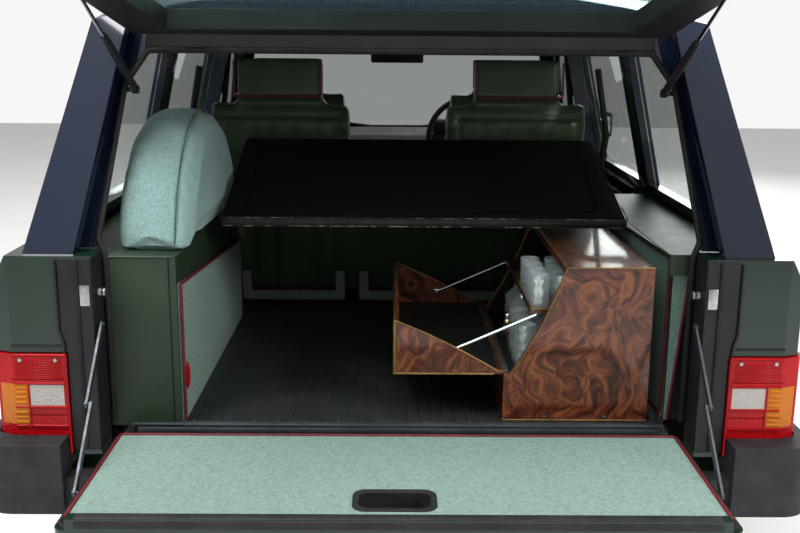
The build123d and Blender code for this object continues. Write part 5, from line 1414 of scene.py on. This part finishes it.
def lamp_trim():
    def run(side, sign):
        rim = side_line(
            sign, (0.7345, -0.0062, 0.654), (0.7345, -0.0062, 0.883), (0.850, -0.0062, 0.883), reach=0.006
        )
        bead(f"lamp_rim_{side}", rim, 0.003, red_lens)
        for name, z in (("low", 0.7185), ("mid", 0.7625), ("high", 0.8180)):
            line = [at(sign * x, -0.0066, z) for x in (0.738, 0.77, 0.81, 0.851)]
            bead(f"lamp_step_{name}_{side}", line, 0.0024, red_lens)
        post = [at(sign * 0.8205, -0.0066, z) for z in (0.72, 0.75, 0.79, 0.818)]
        bead(f"lamp_post_{side}", post, 0.0024, red_lens)
        spots = [(sign * x, z) for x in (0.757, 0.835) for z in (0.667, 0.872)]
        screws = [(at(x, -0.0095, z), at(x, -0.004, z), 0.0042) for x, z in spots]
        rods(f"lamp_screws_{side}", zinc, *screws, slot="zinc_steel")
        lamp_prisms(f"lamp_prisms_{side}", red_lens, sign * 0.796, 0.052, 0.8275, 0.0052, 0.0026, 9)
        lamp_prisms(f"lamp_amber_{side}", amber_lens, sign * 0.838, 0.013, 0.7245, 0.0115, 0.0058, 8)
        seam = [at(sign * x, -0.002, 0.903) for x in (0.745, 0.78, 0.82, 0.855)]
        bead(f"quarter_seam_{side}", seam, 0.0022, seal_rubber)

    both_sides(run)


amber_lens = start_finish("amber_lens", (0.56, 0.17, 0.006), 0.25, Coat_Weight=0.3, Specular_IOR_Level=0.1)
relief_by(amber_lens, add_cells(amber_lens, 700), 0.3, 0.0006)
lamp_trim()

# %% [markdown]
# The cabin needs its small things too: mirror, visors, belts, a console lid, levers and a cloth roof lining,
# with the wipers in front of the windscreen. They are simple, but each has a soft edge and its finish.


# %% Cabin trim
ROOF_LINING, LINING_THICK = 1.612, 0.012


def soft_box(name, low, high, soft, finish, body="root", slot="trim_black", segments=3):
    """One rounded block between any two opposite corners."""
    pairs = [sorted(pair) for pair in zip(low, high)]
    corners = tuple(zip(*pairs))
    return blocks(name, finish, corners, soft=soft, segments=segments, body=body, slot=slot, crease=50)


def cabin_trim():
    soft_box("inner_mirror", at(-0.118, 2.475, 1.455), at(0.118, 2.500, 1.515), 0.009, trim_plastic)
    stalk = [at(0, 2.49, 1.51), at(0, 2.50, 1.56), at(0, 2.47, 1.625)]
    bead("inner_mirror_stalk", stalk, 0.008, trim_plastic)

    def per_side(side, sign):
        low, high = at(sign * 0.12, 2.36, 1.600), at(sign * 0.50, 2.50, 1.618)
        soft_box(f"sun_visor_{side}", low, high, 0.007, grey_cloth)
        belt = side_line(sign, (0.705, 1.775, 0.62), (0.700, 1.775, 1.02), (0.640, 1.775, 1.52))
        bead(f"belt_front_{side}", belt, 0.011, seal_rubber)
        belt = side_line(sign, (0.625, 1.02, 1.11), (0.640, 0.98, 1.28), (0.600, 0.96, 1.48))
        bead(f"belt_rear_{side}", belt, 0.010, seal_rubber)
        low, high = at(sign * 0.690, 1.76, 1.04), at(sign * 0.712, 1.79, 1.11)
        soft_box(f"belt_guide_{side}", low, high, 0.006, trim_plastic)
        wiper = [at(sign * 0.10, 2.885, 1.135), at(sign * 0.30, 2.86, 1.16), at(sign * 0.48, 2.83, 1.18)]
        bead(f"screen_wiper_{side}", wiper, 0.006, seal_rubber)

    both_sides(per_side)
    low, high = at(-0.10, 2.12, 0.8985), at(0.10, 2.42, 0.925)
    soft_box("console_lid", low, high, 0.012, green_hide, slot="leather_green")
    long_lever = (at(0.0, 2.52, 0.89), at(0.0, 2.50, 1.0), 0.007)
    short_lever = (at(0.06, 2.50, 0.89), at(0.06, 2.48, 0.96), 0.006)
    rods("lever_shafts", chrome, long_lever, short_lever, slot="chrome")
    soft_box("lever_grip", at(-0.022, 2.475, 0.985), at(0.022, 2.52, 1.04), 0.014, trim_plastic)
    soft_box("short_lever_grip", at(0.043, 2.462, 0.95), at(0.077, 2.498, 0.99), 0.011, trim_plastic)
    soft_box("dial_hood", at(0.17, 2.60, 1.118), at(0.50, 2.74, 1.195), 0.022, trim_plastic)
    outline = [(-0.58, 0.42), (0.58, 0.42), (0.585, 2.36), (-0.585, 2.36)]
    plate("roof_lining", lying, outline, ROOF_LINING - LINING_THICK, ROOF_LINING, grey_cloth)


cabin_trim()

# %% [markdown]
# Rubber strips run along the doors, which get their locks, cards and armrests here too. The wheels get their
# nuts and the tyres a real tread, the front gets lamp rims and a chrome-edged grille, and both ends carry a
# blank plate.


# %% Outside trim
REAR_AXLE, FRONT_AXLE, HALF_TRACK, WHEEL_Z = 1.080, 3.620, 0.743, 0.367
NUT_CIRCLE, VALVE_CIRCLE, VALVE_ANGLE = 0.057, 0.172, 0.55
STRIP_X, STRIP_Z, STRIP_RADIUS = 0.905, 0.790, 0.0085
plate_white = satin_paint("plate_white", (0.55, 0.55, 0.53), (0.66, 0.66, 0.64), 0.3)
plate_yellow = satin_paint("plate_yellow", (0.62, 0.46, 0.06), (0.7, 0.54, 0.1), 0.3)
mirror_face = metal("mirror_face", (0.85, 0.87, 0.88), 0.03, 0.97)
DOORS = (("front", 2.895, 1.806), ("rear", 1.797, 1.048))


def outside_trim():
    def per_side(side, sign):
        for end, front, rear in DOORS:
            body = f"{end}_door_{side}"
            front_cut = front - 0.03
            rear_cut = rear + 0.03 if end == "front" else 1.515
            stations = (rear_cut, rear_cut + 0.1, front_cut - 0.1, front_cut)
            strip = [at(sign * STRIP_X, t, STRIP_Z) for t in stations]
            bead(f"{end}_door_strip_{side}", strip, STRIP_RADIUS, seal_rubber, body)
            stations = (rear + 0.05, rear + 0.2, front - 0.25, front - 0.12)
            rail = [at(sign * 0.829, t, 1.1135) for t in stations]
            bead(f"{end}_door_rail_{side}", rail, 0.006, seal_rubber, body)
            lock = (at(sign * 0.896, rear + 0.035, 0.986), at(sign * 0.906, rear + 0.035, 0.986), 0.011)
            rods(f"{end}_door_lock_{side}", zinc, lock, sides=16, body=body, slot="zinc_steel")
            low = at(sign * 0.802, rear + 0.05 if end == "front" else 1.56, 0.56)
            high = at(sign * 0.792, front - 0.06, 1.09)
            soft_box(f"{end}_door_card_{side}", low, high, 0.004, green_hide, body, "leather_green")
            low = at(sign * 0.800, rear + 0.25 if end == "front" else 1.58, 0.86)
            high = at(sign * 0.750, front - 0.30 if end == "front" else 1.76, 0.90)
            soft_box(f"{end}_door_rest_{side}", low, high, 0.014, green_hide, body, "leather_green")
        low, high = at(sign * 0.884, 2.6605, 1.132), at(sign * 1.014, 2.6625, 1.208)
        soft_box(f"mirror_glass_{side}", low, high, 0.0008, mirror_face, f"front_door_{side}", "chrome", 1)
        wing = [at(sign * STRIP_X, t, STRIP_Z) for t in (2.93, 2.98, 3.08, 3.13)]
        bead(f"wing_strip_{side}", wing, STRIP_RADIUS, seal_rubber)
        sill = [at(sign * 0.846, t, 0.4615) for t in (1.55, 1.9, 2.5, 2.88)]
        bead(f"sill_edge_{side}", sill, 0.005, black_paint)

    both_sides(per_side)
    low, high = at(0.897, 0.42, 0.93), at(0.907, 0.56, 1.05)
    flap = soft_box("fuel_flap", low, high, 0.003, green_paint, slot="body_green")
    sharpen(flap, math.degrees(0.6))
    low, high = at(-0.26, 4.4005, 0.53), at(0.26, 4.404, 0.64)
    soft_box("front_plate", low, high, 0.001, plate_white, segments=1)
    low, high = at(-0.26, -0.245, 0.6275), at(0.26, -0.135, 0.6305)
    soft_box("rear_plate", low, high, 0.001, plate_yellow, "tailgate", segments=1)


def wheel_trim():
    for end, station in (("front", FRONT_AXLE), ("rear", REAR_AXLE)):
        for side, sign in (("right", 1), ("left", -1)):
            body = f"wheel_{end}_{side}"
            bm = bmesh.new()
            for number in range(5):
                angle = 2 * math.pi * (number + 0.5) / 5
                y, z = station + NUT_CIRCLE * math.sin(angle), WHEEL_Z + NUT_CIRCLE * math.cos(angle)
                add_rod(bm, at(sign * 0.795, y, z), at(sign * 0.813, y, z), 0.0095, 6)
            y = station + VALVE_CIRCLE * math.sin(VALVE_ANGLE)
            z = WHEEL_Z + VALVE_CIRCLE * math.cos(VALVE_ANGLE)
            add_rod(bm, at(sign * 0.80, y, z), at(sign * 0.822, y, z), 0.003, 8)
            sharpen(keep(bm, f"wheel_nuts_{end}_{side}", chrome, body))
            make_tyre(f"treaded_tyre_{end}_{side}", station, sign, body, f"tyre_{end}_{side}")


TYRE_SECTION = (
    # distance from the tyre's middle, radius: from the inner bead round the tread to the outer bead
    (0.077, 0.196), (0.094, 0.204), (0.0985, 0.222), (0.1015, 0.245), (0.1022, 0.272), (0.1005, 0.300),
    (0.0955, 0.330), (0.0865, 0.350), (0.0745, 0.3605), (0.0600, 0.3645), (0.0450, 0.3660), (0.0400, 0.3592),
    (0.0340, 0.3592), (0.0290, 0.3662), (0.0080, 0.3668), (0.0030, 0.3592),
)


def join_rows(bm, rows):
    """Join closed rings of points into a ring-shaped skin."""
    for here, there in zip([rows[-1], *rows], rows):
        for step in range(len(here)):
            bm.faces.new((here[step - 1], here[step], there[step], there[step - 1]))


def make_tyre(name, station, sign, body, node):
    """A round tyre with three grooves and cut shoulders."""
    half = list(TYRE_SECTION)
    section = half + [(-x, r) for x, r in reversed(half)]
    inner = [(-0.060, 0.206), (-0.070, 0.27), (-0.066, 0.335), (0.066, 0.335), (0.070, 0.27), (0.060, 0.206)]
    ring = section + inner
    turns = 144
    bm = bmesh.new()
    rows = []
    for spot in range(turns):
        angle = 2 * math.pi * spot / turns
        cut = 0.006 if spot % 3 == 0 else 0.0
        row = []
        for x, radius in ring:
            shoulder = 0.046 < abs(x) < 0.09 and radius > 0.345
            block_cut = radius > 0.365 and spot % 6 == (1 if x > 0 else 4)
            r = radius - (cut if shoulder else 0.0) - (0.004 if block_cut else 0.0)
            y, z = station + r * math.sin(angle), WHEEL_Z - r * math.cos(angle)
            row.append(bm.verts.new(at(sign * (HALF_TRACK + x), y, z)))
        rows.append(row)
    join_rows(bm, rows)
    tyre = keep(bm, name, tyre_rubber, body)
    sharpen(tyre, 28)
    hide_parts(node)


RIM_SECTION = ((0.089, 4.268), (0.100, 4.2675), (0.103, 4.262), (0.103, 4.2445), (0.0925, 4.2445))
LAMP_X, LAMP_Z, RIM_STEPS = 0.610, 0.808, 40


def front_trim():
    def per_side(side, sign):
        bm = bmesh.new()
        rows = []
        for spot in range(RIM_STEPS):
            angle = 2 * math.pi * spot / RIM_STEPS
            row = []
            for radius, out in RIM_SECTION:
                x, z = sign * LAMP_X + radius * math.cos(angle), LAMP_Z + radius * math.sin(angle)
                row.append(bm.verts.new(at(x, out, z)))
            rows.append(row)
        join_rows(bm, rows)
        sharpen(keep(bm, f"headlamp_rim_{side}", chrome))
        low, high = at(sign * 0.790, 4.180, 0.70), at(sign * 0.838, 4.228, 0.92)
        soft_box(f"indicator_{side}", low, high, 0.008, amber_lens, slot="lamp_clear")

    both_sides(per_side)
    for name, z in (("low", 0.681), ("high", 0.935)):
        edge = [at(x, 4.2775, z) for x in (-0.46, -0.2, 0.2, 0.46)]
        bead(f"grille_edge_{name}", edge, 0.0035, chrome)
    tip = (at(-0.230, 0.060, 0.400), at(-0.230, 0.018, 0.400), 0.0265)
    rods("exhaust_tip", dull_steel, tip, sides=24, slot="exhaust_steel")


outside_trim()
wheel_trim()
front_trim()
